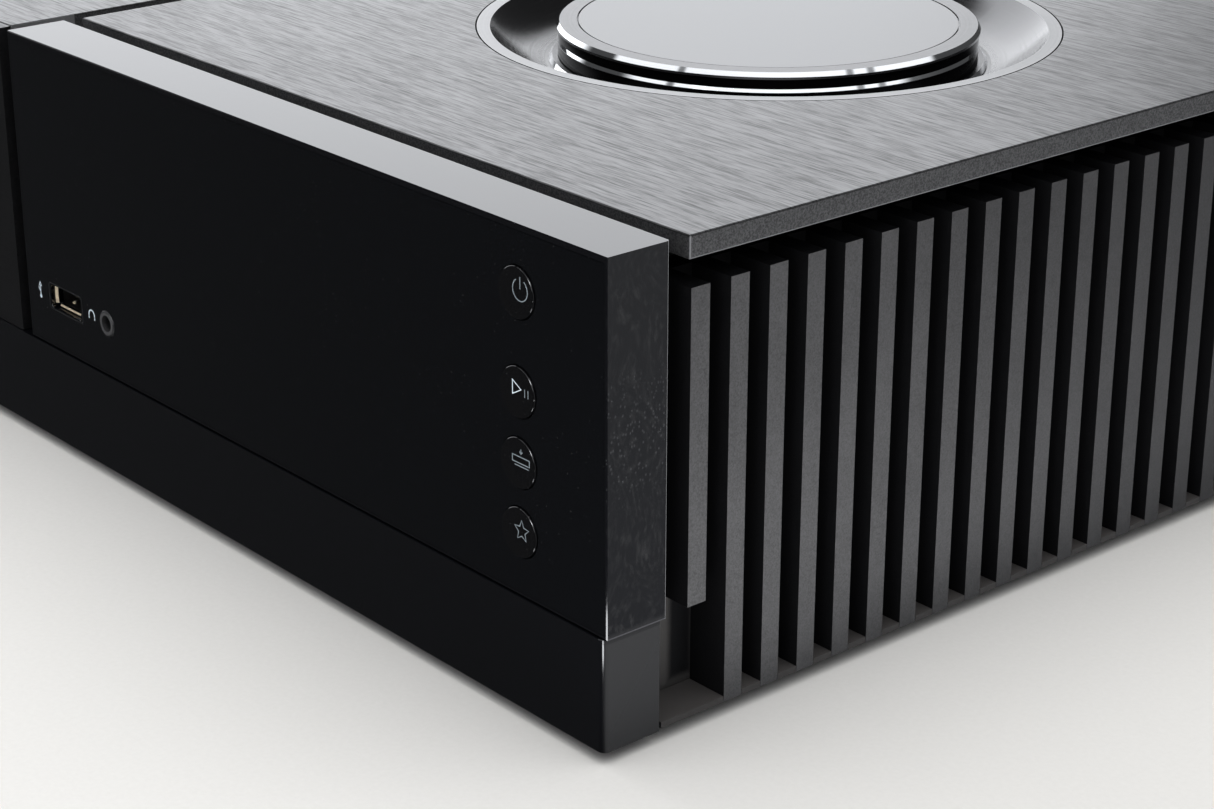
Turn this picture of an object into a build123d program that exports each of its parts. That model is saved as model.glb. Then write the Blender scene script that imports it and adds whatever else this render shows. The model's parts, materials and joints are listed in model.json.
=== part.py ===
from build123d import *
import os
from math import acos, cos, pi, radians, sin, tan

# A low, wide audio box seen from its front: +X right, +Y to the back, +Z up.
# The origin is on the resting surface, under the centre of the whole box.
# All sizes are in millimetres.

# ---------------------------------------------------------------- overall box
WIDTH = 432.0
DEPTH = 265.0
HEIGHT = 95.0
RIGHT = WIDTH / 2
LEFT = -WIDTH / 2
FRONT = -DEPTH / 2
BACK = DEPTH / 2

# ------------------------------------------------------------------ casework
BLOCK_WIDTH = 198.0
BLOCK_DEPTH = 13.8
BLOCK_TOP = 94.3
BLOCK_BOTTOM = 24.8
BLOCK_CHAMFER = 0.2
BLOCK_REAR_ROUND = 0.6
BLOCK_WALL = 4.0
BASE_PROUD = 0.4
BASE_SIDE_INSET = 0.5
BASE_DEPTH = 13.0
BASE_BOTTOM = 2.6
BASE_ROUND = 1.4
BASE_SKIN = 2.2
BASE_END = 6.0
SHADOW_GAP = 0.15
COVER_TOP = 94.1
COVER_THICK = 4.25
COVER_SIDE_INSET = 0.35
PANEL_GROOVE = 4.1
PANEL_SKIN = 3.0
PANEL_BACKING = 5.0
COVER_CHAMFER = 0.2
COVER_GAP = 4.6
TRAY_BOTTOM = 3.0
SHEET = 1.2
FRAME_SHEET = 1.5
SHEET_GAP = 0.1
CUT = 1.0
WALL = 3.0
VENT_X = 124.0
VENT_Y = -70.0
VENT_LENGTH = 70.0
VENT_WIDTH = 3.2
VENT_PITCH = 8.0
HARNESS_XS = (40, 110, 180)
REAR_FACE = 123.0
REAR_THICK = 2.0

FACE_Y = FRONT + BASE_PROUD
BLOCK_LEFT = RIGHT - BLOCK_WIDTH
BLOCK_BACK = FACE_Y + BLOCK_DEPTH
LEFT_PANEL_RIGHT = BLOCK_LEFT - PANEL_GROOVE
BASE_TOP = BLOCK_BOTTOM - SHADOW_GAP
COVER_BOTTOM = COVER_TOP - COVER_THICK
COVER_FRONT = BLOCK_BACK + COVER_GAP
TRAY_TOP = TRAY_BOTTOM + SHEET
REAR_INNER = REAR_FACE - REAR_THICK
LID_TOP = COVER_BOTTOM - SHADOW_GAP
LID_THICK = 1.5
LID_OVERLAP = 1.0
LID_BOTTOM = LID_TOP - LID_THICK
LID_EDGE = RIGHT - 10.5
REAR_EDGE = RIGHT - 1.0

# ----------------------------------------------------------------- heatsinks
FIN_PITCH = 9.15
FIN_THICK = 4.3
FIN_COUNT = 26
FIN_FIRST = FACE_Y + 19.1
FIN_TOP = 84.55
FIN_OUTER = RIGHT - 0.5
FIN_ROOT = RIGHT - 10.5
SINK_INNER = FIN_ROOT - 5.0
SHORT_FIN_BOTTOM = 24.95
POCKET_SKIN = 0.9

# ---------------------------------------------------------------- front glass
GLASS_THICK = 3.0
GLASS_TOP_BORDER = 1.1
GLASS_SIDE_BORDER = 0.65
GLASS_FIT = 0.1
GLASS_BEVEL = 0.12
LCD_LEFT = 60.0
LCD_RIGHT = 178.0
LCD_THICK = 4.3
CONTROL_X = RIGHT - 23.5
BUTTON_RADIUS = 4.75
BUTTON_GAP = 0.12
BUTTON_PROUD = 0.4
BUTTON_ROUND = 0.3
BUTTON_HEIGHTS = {
    "power_button": 82.05,
    "play_button": 63.85,
    "input_button": 50.55,
    "favourite_button": 37.25,
}
BUTTON_FLANGE = 6.2
BUTTON_STEM = 2.0
SWITCH_SIZE = 6.0
SOCKET_Z = 36.9
USB_X = RIGHT - 181.5
USB_WIDTH = 12.6
USB_HEIGHT = 5.25
USB_ROUND = 0.8
USB_SKIN = 0.3
JACK_X = RIGHT - 164.2
JACK_RADIUS = 2.85
JACK_PROUD = 0.2
JACK_BORE = 1.8
JACK_LENGTH = 15.0
JACK_BODY = 9.0

# ----------------------------------------------------------------- top dial
DIAL_X = 118.0
DIAL_Y = -2.7
DISH_GROOVE = 63.4
DISH_RADIUS = 63.05
DISH_LIP = 60.2
DISH_FLOOR_RADIUS = 48.4
DISH_FLOOR = 86.6
DISH_SAG = 1.0
KNOB_RADIUS = 45.85
KNOB_TOP_RADIUS = 45.2
KNOB_DISC_RADIUS = 41.4
DISC_GAP = 0.35
BAND_INSET = 0.3
CHAMFER_BOTTOM = 94.1
MID_RING_TOP = 91.65
MID_RING_BOTTOM = 90.75
LOWER_BAND_BOTTOM = 87.9
BASE_RING_OUTER = 47.6
BASE_RING_INNER = 44.2
BASE_RING_TOP = 87.6
DIAL_SHAFT_RADIUS = 4.0
RUNNING_GAP = 0.05

# ---------------------------------------------------------------- disc drive
DRIVE_X = -100.0
DRAWER_WIDTH = 136.0
DRAWER_BOTTOM = 50.0
DRAWER_TOP = 66.0
DRAWER_GAP = 0.5
DRAWER_THICK = 5.0
DISC_RADIUS = 60.5
SMALL_DISC_RADIUS = 40.5
DISC_Y = -61.0
TRAY_WIDTH = 130.0
TRAY_UNDERSIDE = 54.5
TRAY_RIM = 60.5
TRAY_BACK = 36.0
PICKUP_SLOT = 44.0
LOADER_LEFT = -172.0
LOADER_RIGHT = -14.0
LOADER_FRONT = BLOCK_BACK + 2.5
LOADER_BACK = 60.0
LOADER_FLOOR = 34.0
RACK_MODULE = 1.0
DRIVE_TEETH = 16
RACK_LINE = -39.0
GEAR_Y = -101.0
WHEEL_MODULE = 0.8
WHEEL_TEETH = 32
PINION_TEETH = 14
LENS_Y = -38.0
ROD_RADIUS = 1.5
ROD_SPREAD = 24.0
ROD_Z = 45.0
SCREW_RADIUS = 2.0
SCREW_OFFSET = -36.0
GEAR_X = RACK_LINE + RACK_MODULE * DRIVE_TEETH / 2
MOTOR_Y = GEAR_Y + WHEEL_MODULE * (WHEEL_TEETH + PINION_TEETH) / 2

# ------------------------------------------------------------------ rear side
SOCKET_ROW = 32.0
SPEAKER_XS = [52.0, 71.0, 90.0, 109.0]
SPEAKER_BORE = 2.05
SPEAKER_BARREL = 5.5
PHONO_XS = [-12.0, -32.0, -52.0]
PHONO_ZS = [24.0, 44.0]
PHONO_RADIUS = 4.15
PHONO_COLLAR = 5.0
PHONO_BORE = 1.65
OPTICAL_XS = [-80.0, -96.0]
OPTICAL_SIZE = 10.0
NETWORK_X = -122.0
NETWORK_WIDTH = 16.0
NETWORK_HEIGHT = 14.0
INLET_X = 150.0
INLET_WIDTH = 26.0
INLET_HEIGHT = 20.0
ROCKER_X = 182.0
ROCKER_WIDTH = 13.0
ROCKER_HEIGHT = 19.0
ROCKER_TILT = 8.0
WINDOW_FIT = 0.2
SCREW_HEAD = 2.9
SCREW_SHANK = 1.5
SCREW_RECESS = 1.2
FOOT_X = 176.0
FOOT_Y = 92.0
FOOT_RADIUS = 14.0
FOOT_WELL = 4.5

os.makedirs("parts", exist_ok=True)


def slab(x0, x1, y0, y1, z0, z1, mode=Mode.ADD):
    """Add or cut the box between two corners in the part being built."""
    with Locations(((x0 + x1) / 2, (y0 + y1) / 2, (z0 + z1) / 2)):
        Box(x1 - x0, y1 - y0, z1 - z0, mode=mode)


def rod_z(x, y, z0, z1, radius, mode=Mode.ADD):
    """Add or cut an upright cylinder."""
    with Locations((x, y, (z0 + z1) / 2)):
        Cylinder(radius, z1 - z0, mode=mode)


def rod_y(x, z, y0, y1, radius, mode=Mode.ADD):
    """Add or cut a cylinder that runs from front to back."""
    with Locations((x, (y0 + y1) / 2, z)):
        Cylinder(radius, y1 - y0, rotation=(90, 0, 0), mode=mode)


def keep(piece, name):
    """Label a finished piece and write it as its own STEP file."""
    piece.part.label = name
    export_step(piece.part, f"parts/{name}.step")


def gear_outline(teeth, module, backlash, turn):
    """Points of an involute spur gear's outline, first tooth at the angle turn."""
    pitch = module * teeth / 2
    base = pitch * cos(radians(20))
    tip = pitch + 0.9 * module
    root = pitch - 1.25 * module
    half = (pi * module / 2 - backlash) / 2 / pitch

    def involute(radius):
        angle = acos(min(1.0, base / radius))
        return tan(angle) - angle

    start = max(base, root)
    steps = [start + (tip - start) * k / 4 for k in range(5)]
    flank = [(r, half + involute(pitch) - involute(r)) for r in steps]
    if root < base:
        flank.insert(0, (root, flank[0][1]))
    tooth = [(r, -a) for r, a in flank] + [(r, a) for r, a in reversed(flank)]
    points = []
    for k in range(teeth):
        centre = turn + 2 * pi * k / teeth
        points += [(r * cos(centre + a), r * sin(centre + a)) for r, a in tooth]
    return points


# ================================================================== casework
def fin_fronts():
    """Front face of every fin, from the front to the back."""
    return [FIN_FIRST + FIN_PITCH * k for k in range(FIN_COUNT)]


FRAME_FRONT = BLOCK_BACK + SHEET_GAP
FRAME_BACK = FRAME_FRONT + FRAME_SHEET
TRAY_FRONT_EDGE = BLOCK_BACK - 0.7

# The tray is folded sheet. Its floor reaches out between the fins as a comb.
with BuildPart() as bottom_tray:
    slab(-FIN_OUTER, FIN_OUTER, TRAY_FRONT_EDGE, REAR_INNER, TRAY_BOTTOM, TRAY_TOP)
    for side in (-1, 1):
        outer = side * (FIN_OUTER + CUT)
        inner = side * FIN_ROOT
        for front in fin_fronts()[1:]:
            edges = sorted((outer, inner))
            slab(
                *edges, front - SHEET_GAP, front + FIN_THICK + SHEET_GAP,
                TRAY_BOTTOM - CUT, TRAY_TOP + CUT, Mode.SUBTRACT,
            )
        skin = sorted((side * FIN_ROOT, side * (FIN_ROOT + POCKET_SKIN)))
        slab(
            *skin, TRAY_FRONT_EDGE, FIN_FIRST + FIN_PITCH - SHEET_GAP,
            TRAY_TOP, SHORT_FIN_BOTTOM - 2 * SHEET_GAP,
        )
        wall = sorted((side * (SINK_INNER - SHEET), side * SINK_INNER))
        slab(*wall, FRAME_BACK + SHEET_GAP, REAR_INNER, TRAY_TOP, LID_BOTTOM)
    # Vent slots under the amplifier boards.
    for column in (-1, 1):
        with Locations((column * VENT_X, VENT_Y, TRAY_BOTTOM + SHEET / 2)):
            with GridLocations(0, VENT_PITCH, 1, 9):
                Box(VENT_LENGTH, VENT_WIDTH, 3 * SHEET, mode=Mode.SUBTRACT)
keep(bottom_tray, "bottom_tray")


def frame_window(x, z, width, height):
    """Cut a rectangular window through the front frame."""
    slab(
        x - width / 2, x + width / 2, FRAME_FRONT - CUT, FRAME_BACK + CUT,
        z - height / 2, z + height / 2, Mode.SUBTRACT,
    )


with BuildPart() as front_subframe:
    slab(-SINK_INNER + SHEET, SINK_INNER - SHEET, FRAME_FRONT, FRAME_BACK, TRAY_TOP, LID_BOTTOM)
    frame_window(DRIVE_X, (DRAWER_BOTTOM + DRAWER_TOP) / 2, DRAWER_WIDTH + 4, DRAWER_TOP - DRAWER_BOTTOM + 4)
    for x in HARNESS_XS:
        frame_window(x, 66, 24, 12)
    frame_window(USB_X, SOCKET_Z, 18, 12)
    frame_window(JACK_X, SOCKET_Z, 12, 12)
keep(front_subframe, "front_subframe")

# A hollow bar across the whole front, open at the back.
with BuildPart() as base_fascia:
    slab(LEFT + BASE_SIDE_INSET, RIGHT - BASE_SIDE_INSET, FRONT, FRONT + BASE_DEPTH, BASE_BOTTOM, BASE_TOP)
    upright = base_fascia.edges().filter_by(Axis.Z).group_by(Axis.Y)[0]
    fillet(upright, BASE_ROUND)
    chamfer(base_fascia.faces().sort_by(Axis.Z)[-1].edges().group_by(Axis.Y)[0], SHEET_GAP)
    slab(
        LEFT + BASE_END, RIGHT - BASE_END, FRONT + WALL, FRONT + BASE_DEPTH + CUT,
        BASE_BOTTOM + BASE_SKIN, BASE_TOP - BASE_SKIN, Mode.SUBTRACT,
    )
keep(base_fascia, "base_fascia")

# The skin of the left panel rises in front of the cover behind it.
with BuildPart() as left_front_panel:
    frame_top = COVER_BOTTOM - SHADOW_GAP
    slab(LEFT, LEFT_PANEL_RIGHT, FACE_Y, BLOCK_BACK, BLOCK_BOTTOM, frame_top)
    slab(LEFT, LEFT_PANEL_RIGHT, FACE_Y, FACE_Y + PANEL_SKIN, BLOCK_BOTTOM, COVER_TOP - SHADOW_GAP)
    slab(
        LEFT + WALL, LEFT_PANEL_RIGHT - WALL, FACE_Y + PANEL_BACKING, BLOCK_BACK + CUT,
        BLOCK_BOTTOM + WALL, frame_top - WALL, Mode.SUBTRACT,
    )
    slab(
        DRIVE_X - DRAWER_WIDTH / 2 - DRAWER_GAP, DRIVE_X + DRAWER_WIDTH / 2 + DRAWER_GAP,
        FACE_Y - CUT, FACE_Y + PANEL_BACKING + CUT,
        DRAWER_BOTTOM - DRAWER_GAP, DRAWER_TOP + DRAWER_GAP, Mode.SUBTRACT,
    )
keep(left_front_panel, "left_front_panel")

# Gloss block behind the glass: four walls, open to the front and the back.
GLASS_LEFT = BLOCK_LEFT + GLASS_SIDE_BORDER
GLASS_RIGHT = RIGHT - GLASS_SIDE_BORDER
GLASS_BOTTOM = BLOCK_BOTTOM + GLASS_SIDE_BORDER
GLASS_TOP = BLOCK_TOP - GLASS_TOP_BORDER
with BuildPart() as display_housing:
    slab(BLOCK_LEFT, RIGHT, FACE_Y, BLOCK_BACK, BLOCK_BOTTOM, BLOCK_TOP)
    chamfer(display_housing.faces().sort_by(Axis.Y)[0].edges(), BLOCK_CHAMFER)
    rear_corner = display_housing.edges().filter_by(Axis.Z).group_by(Axis.X)[-1].sort_by(Axis.Y)[-1]
    fillet(rear_corner, BLOCK_REAR_ROUND)
    slab(
        GLASS_LEFT, GLASS_RIGHT, FACE_Y - CUT, FACE_Y + GLASS_THICK + GLASS_FIT,
        GLASS_BOTTOM, GLASS_TOP, Mode.SUBTRACT,
    )
    slab(
        BLOCK_LEFT + BLOCK_WALL, RIGHT - BLOCK_WALL, FACE_Y, BLOCK_BACK + CUT,
        BLOCK_BOTTOM + BLOCK_WALL, BLOCK_TOP - BLOCK_WALL, Mode.SUBTRACT,
    )
keep(display_housing, "display_housing")

GLASS_CUT = (FACE_Y - CUT, FACE_Y + GLASS_THICK + CUT)
with BuildPart() as display_glass:
    slab(
        GLASS_LEFT + GLASS_FIT, GLASS_RIGHT - GLASS_FIT, FACE_Y, FACE_Y + GLASS_THICK,
        GLASS_BOTTOM + GLASS_FIT, GLASS_TOP - GLASS_FIT,
    )
    for height in BUTTON_HEIGHTS.values():
        rod_y(CONTROL_X, height, *GLASS_CUT, BUTTON_RADIUS + BUTTON_GAP, Mode.SUBTRACT)
    rod_y(JACK_X, SOCKET_Z, *GLASS_CUT, JACK_RADIUS + GLASS_FIT, Mode.SUBTRACT)
    with BuildSketch(Plane.XZ.offset(-GLASS_CUT[0])):
        with Locations((USB_X, SOCKET_Z)):
            RectangleRounded(USB_WIDTH, USB_HEIGHT, USB_ROUND)
    extrude(amount=GLASS_CUT[0] - GLASS_CUT[1], mode=Mode.SUBTRACT)
    holes = display_glass.faces().sort_by(Axis.Y)[0].inner_wires()
    chamfer([edge for hole in holes for edge in hole.edges()], GLASS_BEVEL)
keep(display_glass, "display_glass")

LCD_FRONT = FACE_Y + GLASS_THICK + 2 * GLASS_FIT
with BuildPart() as lcd_panel:
    slab(
        LCD_LEFT, LCD_RIGHT, LCD_FRONT, LCD_FRONT + LCD_THICK,
        BLOCK_BOTTOM + BLOCK_WALL + CUT, BLOCK_TOP - BLOCK_WALL - CUT,
    )
keep(lcd_panel, "lcd_panel")

with BuildPart() as left_top_cover:
    slab(
        LEFT + COVER_SIDE_INSET, LEFT_PANEL_RIGHT, FACE_Y + PANEL_SKIN + SHADOW_GAP, REAR_FACE,
        COVER_BOTTOM, COVER_TOP,
    )
    chamfer(left_top_cover.faces().sort_by(Axis.Z)[-1].edges(), COVER_CHAMFER)
keep(left_top_cover, "left_top_cover")

with BuildPart() as right_top_cover:
    slab(
        BLOCK_LEFT, RIGHT - COVER_SIDE_INSET, COVER_FRONT, REAR_FACE,
        COVER_BOTTOM, COVER_TOP,
    )
    chamfer(right_top_cover.faces().sort_by(Axis.Z)[-1].edges(), COVER_CHAMFER)
    rod_z(DIAL_X, DIAL_Y, COVER_BOTTOM - CUT, COVER_TOP + CUT, DISH_GROOVE, Mode.SUBTRACT)
keep(right_top_cover, "right_top_cover")

with BuildPart() as chassis_lid:
    slab(-LID_EDGE, LID_EDGE, FRAME_FRONT, REAR_INNER, LID_BOTTOM, LID_TOP)
    rod_z(DIAL_X, DIAL_Y, LID_BOTTOM - CUT, LID_TOP + CUT, DISH_RADIUS - LID_OVERLAP, Mode.SUBTRACT)
keep(chassis_lid, "chassis_lid")

for side, sink_name in ((-1, "left_heatsink"), (1, "right_heatsink")):
    with BuildPart() as heatsink:
        slab(
            *sorted((side * SINK_INNER, side * FIN_ROOT)), FRAME_FRONT, REAR_INNER,
            TRAY_TOP, FIN_TOP,
        )
        across = sorted((side * FIN_ROOT, side * FIN_OUTER))
        for number, front in enumerate(fin_fronts()):
            bottom = SHORT_FIN_BOTTOM if number == 0 else TRAY_BOTTOM
            slab(*across, front, front + FIN_THICK, bottom, FIN_TOP)
    keep(heatsink, sink_name)


# The back plate has a cut-out for each socket.
def rear_window(x, z, width, height):
    """Cut a rectangular window through the back plate."""
    slab(
        x - width / 2 - WINDOW_FIT, x + width / 2 + WINDOW_FIT, REAR_INNER - CUT, REAR_FACE + CUT,
        z - height / 2 - WINDOW_FIT, z + height / 2 + WINDOW_FIT, Mode.SUBTRACT,
    )


SCREW_EDGE = 5.0
SCREW_ROWS = (TRAY_TOP + SCREW_EDGE, LID_BOTTOM - SCREW_EDGE)
REAR_SCREWS = [(x, z) for x in (-194, -100, 8, 128, 197) for z in SCREW_ROWS]
REAR_CUT = (REAR_INNER - CUT, REAR_FACE + CUT)
with BuildPart() as rear_panel:
    slab(-REAR_EDGE, REAR_EDGE, REAR_INNER, REAR_FACE, TRAY_BOTTOM, LID_TOP)
    rear_window(INLET_X, SOCKET_ROW, INLET_WIDTH, INLET_HEIGHT)
    rear_window(ROCKER_X, SOCKET_ROW, ROCKER_WIDTH, ROCKER_HEIGHT)
    rear_window(NETWORK_X, SOCKET_ROW, NETWORK_WIDTH, NETWORK_HEIGHT)
    for x in OPTICAL_XS:
        rear_window(x, SOCKET_ROW, OPTICAL_SIZE, OPTICAL_SIZE)
    for x in SPEAKER_XS:
        rod_y(x, SOCKET_ROW, *REAR_CUT, SPEAKER_BARREL + SHEET_GAP, Mode.SUBTRACT)
    for x in PHONO_XS:
        for z in PHONO_ZS:
            rod_y(x, z, *REAR_CUT, PHONO_COLLAR + SHEET_GAP, Mode.SUBTRACT)
    for x, z in REAR_SCREWS:
        rod_y(x, z, *REAR_CUT, SCREW_SHANK + SHEET_GAP, Mode.SUBTRACT)
    # Exhaust slots above the sockets.
    with Locations((30, REAR_FACE, 70)):
        with GridLocations(VENT_PITCH, 0, 30, 1):
            Box(VENT_WIDTH, 3 * REAR_THICK, 14, mode=Mode.SUBTRACT)
keep(rear_panel, "rear_panel")

FOOT_SPOTS = [(x, y) for x in (-FOOT_X, FOOT_X) for y in (-FOOT_Y, FOOT_Y)]
FOOT_SEAT = 1.4
with BuildPart() as rubber_feet:
    for x, y in FOOT_SPOTS:
        rod_z(x, y, 0, TRAY_BOTTOM, FOOT_RADIUS)
        rod_z(x, y, -CUT, FOOT_SEAT, FOOT_WELL, Mode.SUBTRACT)
        rod_z(x, y, -CUT, TRAY_BOTTOM + CUT, 1.7, Mode.SUBTRACT)
    chamfer(rubber_feet.faces().group_by(Axis.Z)[0].edges().group_by(SortBy.LENGTH)[-1], 0.6)
keep(rubber_feet, "rubber_feet")

# Pan-head screws: the back plate's, and one up through each foot.
with BuildPart() as case_screws:
    for x, z in REAR_SCREWS:
        rod_y(x, z, REAR_FACE, REAR_FACE + 1.6, SCREW_HEAD)
        rod_y(x, z, REAR_INNER - 3, REAR_FACE, SCREW_SHANK)
        rod_y(x, z, REAR_FACE + 0.8, REAR_FACE + 2, SCREW_RECESS, Mode.SUBTRACT)
    for x, y in FOOT_SPOTS:
        rod_z(x, y, FOOT_SEAT - 1.0, FOOT_SEAT, FOOT_WELL - 0.5)
        rod_z(x, y, FOOT_SEAT, TRAY_BOTTOM, 1.6)
keep(case_screws, "case_screws")


# ====================================================================== dial
DIAL_PLANE = Plane(origin=(DIAL_X, DIAL_Y, 0), x_dir=(1, 0, 0), z_dir=(0, -1, 0))
DIAL_AXIS = Axis((DIAL_X, DIAL_Y, 0), (0, 0, 1))
BAND_RADIUS = KNOB_RADIUS - BAND_INSET
CARRIER_RADIUS = 36.0
HUB_RADIUS = 20.0
BUSH_RADIUS = 8.9
BUSH_BOTTOM = 74.0
DISH_UNDERSIDE = DISH_FLOOR - 2.2
CAP_UNDERSIDE = 93.6
DISC_SEAT = 94.0

with BuildPart() as dial_dish:
    with BuildSketch(DIAL_PLANE):
        with BuildLine():
            middle = ((DISH_LIP + DISH_FLOOR_RADIUS) / 2, (COVER_TOP + DISH_FLOOR) / 2)
            Line((DISH_RADIUS, COVER_TOP), (DISH_LIP, COVER_TOP))
            ThreePointArc(
                (DISH_LIP, COVER_TOP), (middle[0] + DISH_SAG / 2, middle[1] - DISH_SAG),
                (DISH_FLOOR_RADIUS, DISH_FLOOR),
            )
            Polyline(
                (DISH_FLOOR_RADIUS, DISH_FLOOR), (BUSH_RADIUS + 0.1, DISH_FLOOR),
                (BUSH_RADIUS + 0.1, DISH_UNDERSIDE), (DISH_FLOOR_RADIUS + 1.6, DISH_UNDERSIDE),
                (DISH_RADIUS - 1.8, COVER_TOP - 2.8), (DISH_RADIUS - 1.8, LID_TOP),
                (DISH_RADIUS, LID_TOP), (DISH_RADIUS, COVER_TOP),
            )
        make_face()
    revolve(axis=DIAL_AXIS)
keep(dial_dish, "dial_dish")

with BuildPart() as dial_base_ring:
    with BuildSketch(DIAL_PLANE):
        Polygon(
            (BASE_RING_INNER, DISH_FLOOR), (BASE_RING_OUTER, DISH_FLOOR),
            (BASE_RING_OUTER, BASE_RING_TOP - 0.7), (BASE_RING_OUTER - 0.8, BASE_RING_TOP),
            (BASE_RING_INNER, BASE_RING_TOP), align=None,
        )
    revolve(axis=DIAL_AXIS)
keep(dial_base_ring, "dial_base_ring")

with BuildPart() as dial_bearing:
    rod_z(DIAL_X, DIAL_Y, BUSH_BOTTOM, DISH_FLOOR, BUSH_RADIUS)
    rod_z(DIAL_X, DIAL_Y, DISH_UNDERSIDE - 2, DISH_UNDERSIDE, 14)
    rod_z(DIAL_X, DIAL_Y, BUSH_BOTTOM - 1, DISH_FLOOR + 1, DIAL_SHAFT_RADIUS + RUNNING_GAP, Mode.SUBTRACT)
keep(dial_bearing, "dial_bearing")

ENCODER_BOTTOM = BUSH_BOTTOM - 8
SHAFT_END = ENCODER_BOTTOM + 1
with BuildPart() as dial_encoder:
    slab(DIAL_X - 13, DIAL_X + 13, DIAL_Y - 13, DIAL_Y + 13, ENCODER_BOTTOM, BUSH_BOTTOM)
    slab(DIAL_X - 20, DIAL_X + 20, DIAL_Y - 20, DIAL_Y + 20, ENCODER_BOTTOM - 1.6, ENCODER_BOTTOM)
    slab(DIAL_X - 7, DIAL_X + 7, DIAL_Y - 19, DIAL_Y - 14, ENCODER_BOTTOM, ENCODER_BOTTOM + 6)
    rod_z(
        DIAL_X, DIAL_Y, SHAFT_END - 0.3, BUSH_BOTTOM + 1,
        DIAL_SHAFT_RADIUS + RUNNING_GAP, Mode.SUBTRACT,
    )
keep(dial_encoder, "dial_encoder")

with BuildPart() as dial_shaft:
    rod_z(DIAL_X, DIAL_Y, SHAFT_END, DISH_FLOOR + 2, DIAL_SHAFT_RADIUS)
    rod_z(DIAL_X, DIAL_Y, DISH_FLOOR + 1.6, CAP_UNDERSIDE, CARRIER_RADIUS)
    rod_z(DIAL_X, DIAL_Y, CAP_UNDERSIDE, DISC_SEAT, HUB_RADIUS)
keep(dial_shaft, "dial_shaft")

with BuildPart() as dial_lower_band:
    rod_z(DIAL_X, DIAL_Y, LOWER_BAND_BOTTOM, MID_RING_BOTTOM, BAND_RADIUS)
    rod_z(DIAL_X, DIAL_Y, LOWER_BAND_BOTTOM, MID_RING_BOTTOM, CARRIER_RADIUS, Mode.SUBTRACT)
keep(dial_lower_band, "dial_lower_band")

with BuildPart() as dial_mid_ring:
    with BuildSketch(DIAL_PLANE):
        Polygon(
            (CARRIER_RADIUS, MID_RING_BOTTOM), (KNOB_RADIUS - 0.1, MID_RING_BOTTOM),
            (KNOB_RADIUS - 0.1, MID_RING_BOTTOM + 0.1), (KNOB_RADIUS - 0.55, MID_RING_TOP),
            (CARRIER_RADIUS, MID_RING_TOP), align=None,
        )
    revolve(axis=DIAL_AXIS)
keep(dial_mid_ring, "dial_mid_ring")

with BuildPart() as dial_upper_band:
    rod_z(DIAL_X, DIAL_Y, MID_RING_TOP, CAP_UNDERSIDE, BAND_RADIUS)
    rod_z(DIAL_X, DIAL_Y, MID_RING_TOP, CAP_UNDERSIDE, CARRIER_RADIUS, Mode.SUBTRACT)
keep(dial_upper_band, "dial_upper_band")

with BuildPart() as dial_cap_ring:
    with BuildSketch(DIAL_PLANE):
        Polygon(
            (HUB_RADIUS, CAP_UNDERSIDE), (KNOB_RADIUS, CAP_UNDERSIDE), (KNOB_RADIUS, CHAMFER_BOTTOM),
            (KNOB_TOP_RADIUS, HEIGHT), (KNOB_DISC_RADIUS, HEIGHT), (KNOB_DISC_RADIUS, DISC_SEAT),
            (HUB_RADIUS, DISC_SEAT), align=None,
        )
    revolve(axis=DIAL_AXIS)
keep(dial_cap_ring, "dial_cap_ring")

with BuildPart() as dial_cap_disc:
    rod_z(DIAL_X, DIAL_Y, DISC_SEAT, HEIGHT - 0.05, KNOB_DISC_RADIUS - DISC_GAP)
keep(dial_cap_disc, "dial_cap_disc")


# =========================================================== front controls
BUTTON_TRAVEL = 0.7
STEM_END = FACE_Y + 8.0
SWITCH_FRONT = STEM_END + BUTTON_TRAVEL + 0.1
BOARD_FRONT = SWITCH_FRONT + 1.6
BOARD_THICK = 1.6

for button_name, height in BUTTON_HEIGHTS.items():
    with BuildPart() as button:
        rod_y(CONTROL_X, height, FACE_Y - BUTTON_PROUD, FACE_Y + GLASS_THICK + 0.6, BUTTON_RADIUS)
        fillet(button.faces().sort_by(Axis.Y)[0].edges(), BUTTON_ROUND)
        rod_y(CONTROL_X, height, FACE_Y + GLASS_THICK + 0.2, FACE_Y + GLASS_THICK + 1.2, BUTTON_FLANGE)
        rod_y(CONTROL_X, height, FACE_Y + GLASS_THICK, STEM_END, BUTTON_STEM)
    keep(button, button_name)

with BuildPart() as button_board:
    slab(
        CONTROL_X - 8.5, CONTROL_X + 8.5, BOARD_FRONT, BOARD_FRONT + BOARD_THICK,
        BLOCK_BOTTOM + 4.4, BLOCK_TOP - 4.6,
    )
    for height in BUTTON_HEIGHTS.values():
        slab(
            CONTROL_X - SWITCH_SIZE / 2, CONTROL_X + SWITCH_SIZE / 2, SWITCH_FRONT, BOARD_FRONT,
            height - SWITCH_SIZE / 2, height + SWITCH_SIZE / 2,
        )
keep(button_board, "button_board")

USB_FRONT = FACE_Y + GLASS_THICK + GLASS_FIT
USB_BACK = USB_FRONT + 14.0
USB_HALF_WIDTH = 6.55
USB_HALF_HEIGHT = 2.86
USB_INNER_WIDTH = USB_HALF_WIDTH - USB_SKIN
USB_INNER_HEIGHT = USB_HALF_HEIGHT - USB_SKIN

with BuildPart() as usb_shell:
    slab(
        USB_X - USB_HALF_WIDTH, USB_X + USB_HALF_WIDTH, USB_FRONT, USB_BACK,
        SOCKET_Z - USB_HALF_HEIGHT, SOCKET_Z + USB_HALF_HEIGHT,
    )
    slab(
        USB_X - USB_INNER_WIDTH, USB_X + USB_INNER_WIDTH, USB_FRONT - CUT, USB_BACK - USB_SKIN,
        SOCKET_Z - USB_INNER_HEIGHT, SOCKET_Z + USB_INNER_HEIGHT, Mode.SUBTRACT,
    )
keep(usb_shell, "usb_shell")

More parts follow.
